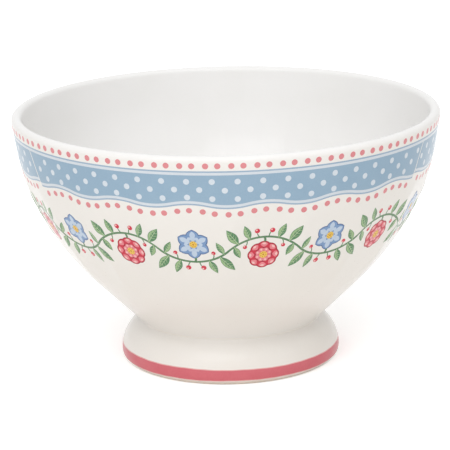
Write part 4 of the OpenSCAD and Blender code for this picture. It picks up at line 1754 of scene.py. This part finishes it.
    def stems(self, flute: int) -> None:
        """Prints the wave, with stalks to the blossom and the berries.

        Args:
            flute: the flute's number.
        """
        u = np.linspace(-self.half, self.half, self.stem_points)
        wave = np.stack([u, self.stem_v(u)], axis=1)
        wave_ws = np.full(self.stem_points, self.stem_w)
        self.stroke(Print.STEMS, flute, wave, wave_ws, layers=0, slot=0)
        low = self.round_d / 2 - self.sink - self.stalk_overlap
        v = np.linspace(low, self.rise - self.stalk_end, self.stalk_points)
        sway = self.stalk_sway * np.sin(np.linspace(0.0, math.pi, self.stalk_points))
        stalk = np.stack([sway, v], axis=1)
        stalk_ws = np.full(self.stalk_points, self.stem_w)
        self.stroke(Print.STEMS, flute, stalk, stalk_ws, layers=1, slot=0)
        reach = np.linspace(0.0, self.twig_l, self.twig_points)
        bend = self.twig_bend * np.sin(np.linspace(0.0, math.pi, self.twig_points))
        twig_ws = np.linspace(*self.twig_ws, self.twig_points)
        for sprig in TWIGS:
            twig = spun(np.stack([reach, bend], axis=1), sprig.turn) + self.stem_point(sprig.place)
            self.stroke(Print.STEMS, flute, twig, twig_ws, layers=1, slot=0)
            self.berry(flute, twig[-1], sprig.size * self.berry_d)

    def berry(self, flute: int, centre: np.ndarray, size: float) -> None:
        """Prints a berry with its highlight.

        Args:
            flute: the flute's number.
            centre: its flat middle.
            size: its diameter.
        """
        self.dot(Print.BERRIES, flute, size, self.berry_points, centre, layers=2, slot=0)
        glint = centre + np.array(self.glint_place) * size
        glint_d = size * self.glint_share
        self.dot(Print.BERRIES, flute, glint_d, self.berry_points, glint, layers=3, slot=1)

    def leaf(self, flute: int, sprig: Sprig) -> None:
        """Prints a leaf in two tones, with its midrib and side veins.

        Args:
            flute: the flute's number.
            sprig: where it leaves the stem, and how.
        """
        shape, start = self.leaf_shape, self.stem_point(sprig.place)
        length, width = sprig.size * shape.length, sprig.size * shape.width
        outline = blade(length, width, shape.belly)
        middle = spun(np.array([shape.belly * length, 0.0]), sprig.turn) + start
        whole = spun(outline, sprig.turn) + start
        self.plate(Print.LEAVES, flute, whole, layers=0, slot=0, middle=middle)
        upper = outline[outline[:, 1] >= 0.0]
        lit = upper * np.array([shape.lit_length, shape.lit_width])
        lit = lit + np.array([shape.lit_start * length, 0.0])
        self.plate(Print.LEAVES, flute, spun(lit, sprig.turn) + start, layers=1, slot=1)
        along = np.linspace(0.0, shape.rib_length * length, shape.rib_points)
        rib = np.stack([along, np.zeros(shape.rib_points)], axis=1)
        rib_ws = np.linspace(*shape.rib_ws, shape.rib_points) * sprig.size
        self.stroke(Print.LEAVES, flute, spun(rib, sprig.turn) + start, rib_ws, layers=2, slot=2)
        vein_ws = np.array(shape.vein_ws) * sprig.size
        for share in shape.vein_starts:
            reach = width / 2 * swell(share, shape.belly)
            for side in (-1, 1):
                vein = np.array([[(share + u) * length, side * v * reach] for u, v in shape.vein_path])
                line = spun(vein, sprig.turn) + start
                self.stroke(Print.LEAVES, flute, line, vein_ws, layers=2, slot=2)

    def round_blossom(self, flute: int) -> None:
        """Prints a round blossom: scalloped edge, shaded petals and a rosy heart.

        Args:
            flute: the flute's number.
        """
        count, reach, notch = self.round_petals, self.round_d / 2, self.round_notch
        edge = round_outline(self.round_d, self.round_points, count, notch)
        self.plate(
            Print.ROUND_PETALS, flute, edge + self.centre, layers=1, slot=0, middle=self.centre
        )
        for petal in ROUND_RINGS:
            self.whorl(Print.ROUND_PETALS, flute, count, 0.0, petal, reach, reach)
        heart, between = self.heart_share * reach, 180.0 / count
        edge = round_outline(2 * heart, self.round_heart_points, count, notch)
        self.plate(
            Print.ROUND_HEARTS, flute, edge + self.centre, layers=5, slot=0, middle=self.centre
        )
        for petal in ROUND_HEART_RINGS:
            self.whorl(Print.ROUND_HEARTS, flute, count, between, petal, heart, heart)

    def star_blossom(self, flute: int) -> None:
        """Prints a star blossom: rimmed petals with pale hearts.

        Args:
            flute: the flute's number.
        """
        count, reach, width = self.star_petals, self.star_d / 2, self.star_petal_w
        upright, between, share = 90.0, 90.0 + 180.0 / count, self.heart_share
        for petal in STAR_RINGS:
            self.whorl(Print.STAR_PETALS, flute, count, upright, petal, reach, width)
        self.whorl(Print.STAR_HEARTS, flute, count, between, STAR_HEART, share * reach, share * width)
        self.whorl(Print.STAR_HEARTS, flute, count, between, STAR_HEART_SHADE, reach, width)

    def eye(self, flute: int) -> None:
        """Prints a blossom's yellow eye, with a ring of ochre stamens.

        Args:
            flute: the flute's number.
        """
        kind, centre, reach = Print.EYES, self.centre, self.stamen_ring * self.eye_d
        self.dot(kind, flute, self.eye_d, self.eye_points, centre, layers=8, slot=0)
        for i in range(self.stamens):
            turn = 2 * math.pi * i / self.stamens
            spot = centre + reach * np.array([math.cos(turn), math.sin(turn)])
            self.dot(kind, flute, self.stamen_d, self.stamen_points, spot, layers=9, slot=1)
        self.dot(kind, flute, self.eye_middle_d, self.eye_middle_points, centre, layers=9, slot=1)

    def dress(self) -> None:
        """Prints the garland and sets it on the flutes."""
        for flute in range(self.skin.flute_n):
            self.stems(flute)
            for sprig in LEAVES:
                self.leaf(flute, sprig)
            if flute % 2 == 0:
                self.round_blossom(flute)
            else:
                self.star_blossom(flute)
            self.eye(flute)
        for kind, slot, finishes in GARLAND_LOOKS:
            settle(self.films[kind].piece(f"{kind.value}_print", *finishes), slot, kind.value)


@dataclass(frozen=True)
class Sway:
    """One wave of an unsteady brush: waves round the foot, size and shift."""

    waves: int
    size: float
    shift: float


BRUSH_SWAYS = (Sway(3, 1.0, 1.0), Sway(11, 0.6, 2.1), Sway(37, 0.35, 3.7))


@dataclass
class FootStripe:
    """The stripe painted by hand round the foot, its edges soft and a little uneven.

    A paler fringe under the paint softens its edges. Both edges waver as a brush does.
    """

    skin: FootSkin
    low_z: float = 1.8 * MM
    top_z: float = 5.3 * MM
    waver: float = 0.07 * MM
    low_phase: float = 0.7
    top_phase: float = 2.9
    fringe: float = 0.3 * MM
    fringe_lift: float = 0.02 * MM
    paint_lift: float = 0.04 * MM
    columns: int = 480
    rows: int = 7

    def edge(self, azimuth: np.ndarray, level: float, phase: float) -> np.ndarray:
        """Height of one edge round the foot, as an unsteady brush leaves it.

        Args:
            azimuth: degrees from the front.
            level: the edge's mean height.
            phase: shifts its waves.

        Returns:
            The heights.
        """
        turn = np.radians(azimuth)
        sway = sum(s.size * np.sin(s.waves * turn + s.shift * phase) for s in BRUSH_SWAYS)
        return level + self.waver * sway

    def build(self) -> bpy.types.Object:
        """Builds the stripe over its paler fringe.

        Returns:
            The stripe.
        """
        film = Film(self.skin)
        azimuth = np.arange(self.columns) * 360.0 / self.columns
        share = np.linspace(0.0, 1.0, self.rows)[:, None]
        for grow, lift, slot in ((self.fringe, self.fringe_lift, 0), (0.0, self.paint_lift, 1)):
            low = self.edge(azimuth, self.low_z - grow, self.low_phase)
            top = self.edge(azimuth, self.top_z + grow, self.top_phase)
            film.grid(np.tile(azimuth, (self.rows, 1)), low + share * (top - low), lift, slot, wraps=True)
        return film.piece("foot_stripe_paint", STRIPE_EDGE, STRIPE_PINK)

    def dress(self) -> None:
        """Sets the stripe on the foot."""
        settle(self.build(), "stripe_pink", "foot_stripe")


@dataclass(frozen=True)
class Lamp:
    """One soft lamp of the studio, aimed at the bowl."""

    name: str
    place: tuple[float, float, float]
    size: tuple[float, float]
    radiance: float
    aim: tuple[float, float, float] = (0.0, 0.0, 0.045)

    def build(self) -> None:
        """Hangs the lamp. Its power follows its size, so that it looks as bright at any size."""
        light = bpy.data.lights.new(self.name, "AREA")
        light.shape = "RECTANGLE"
        light.size, light.size_y = self.size
        light.energy = self.radiance * math.pi * self.size[0] * self.size[1]
        lamp = bpy.data.objects.new(self.name, light)
        lamp.location = self.place
        towards = Vector(self.aim) - Vector(self.place)
        lamp.rotation_euler = towards.to_track_quat("-Z", "Y").to_euler()
        bpy.context.scene.collection.objects.link(lamp)


STUDIO_LAMPS = (
    Lamp("front_high", place=(-0.3, -1.3, 1.55), size=(1.8, 1.4), radiance=2.2),
    Lamp("front_low", place=(-0.4, -1.8, 0.42), size=(2.0, 0.7), radiance=0.3),
    Lamp("top_soft", place=(0.25, 0.0, 1.8), size=(1.8, 1.8), radiance=0.6),
)


@dataclass
class Studio:
    """The pale floor, the soft lamps and the camera at the photographed angle."""

    floor_size: float = 6.0
    floor_z: float = -0.02 * MM
    camera_place: tuple[float, float, float] = (-1.08 * MM, -777.6 * MM, 258.0 * MM)
    camera_pitch: float = 15.23
    camera_roll: float = -1.28
    camera_clip: tuple[float, float] = (0.01, 20.0)
    lens: float = 183.8
    sensor_w: float = 36.0
    sky: float = 0.58

    def floor(self) -> None:
        """Lays the floor that the bowl stands on."""
        half, z = self.floor_size / 2, self.floor_z
        corners = np.array([[-half, -half, z], [half, -half, z], [half, half, z], [-half, half, z]])
        mesh_piece("studio_floor", corners, [(0, 1, 2, 3)], [made(Ground())])

    def world(self) -> None:
        """Makes the surroundings, white to the camera and in the glaze."""
        desk = NodeDesk(bpy.data.worlds.new("studio_white"))
        soft = desk.add("ShaderNodeBackground")
        desk.tune(soft, {"Color": WHITE, "Strength": self.sky})
        white = desk.add("ShaderNodeBackground")
        desk.tune(white, {"Color": WHITE, "Strength": 1.0})
        desk.show(desk.pick_by_ray(soft.outputs["Background"], white.outputs["Background"]))
        bpy.context.scene.world = desk.owner

    def camera(self) -> None:
        """Sets the camera where the photograph was taken from."""
        data = bpy.data.cameras.new("photo_camera")
        data.lens = self.lens
        data.sensor_width = self.sensor_w
        data.sensor_fit = "HORIZONTAL"
        data.clip_start, data.clip_end = self.camera_clip
        camera = bpy.data.objects.new("photo_camera", data)
        tilt = Matrix.Rotation(math.radians(90.0 - self.camera_pitch), 4, "X")
        roll = Matrix.Rotation(math.radians(self.camera_roll), 4, "Z")
        camera.matrix_world = Matrix.Translation(self.camera_place) @ tilt @ roll
        bpy.context.scene.collection.objects.link(camera)
        bpy.context.scene.camera = camera

    def build(self) -> None:
        """Builds the studio."""
        self.camera()
        self.floor()
        self.world()
        for lamp in STUDIO_LAMPS:
            lamp.build()
        bpy.context.scene.view_settings.view_transform = "Standard"


def main() -> None:
    """Builds the bowl's pieces in order, then the studio."""
    logging.basicConfig(level=logging.INFO, format="%(name)s: %(message)s")
    log.info("frame: %d CAD nodes", len(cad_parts))
    wall, foot = WallSkin(), FootSkin()
    GlazedWall(wall).dress()
    Foot(foot).dress()
    RimBand(wall).dress()
    Garland(wall).dress()
    FootStripe(foot).dress()
    Studio().build()


if __name__ == "__main__":
    main()
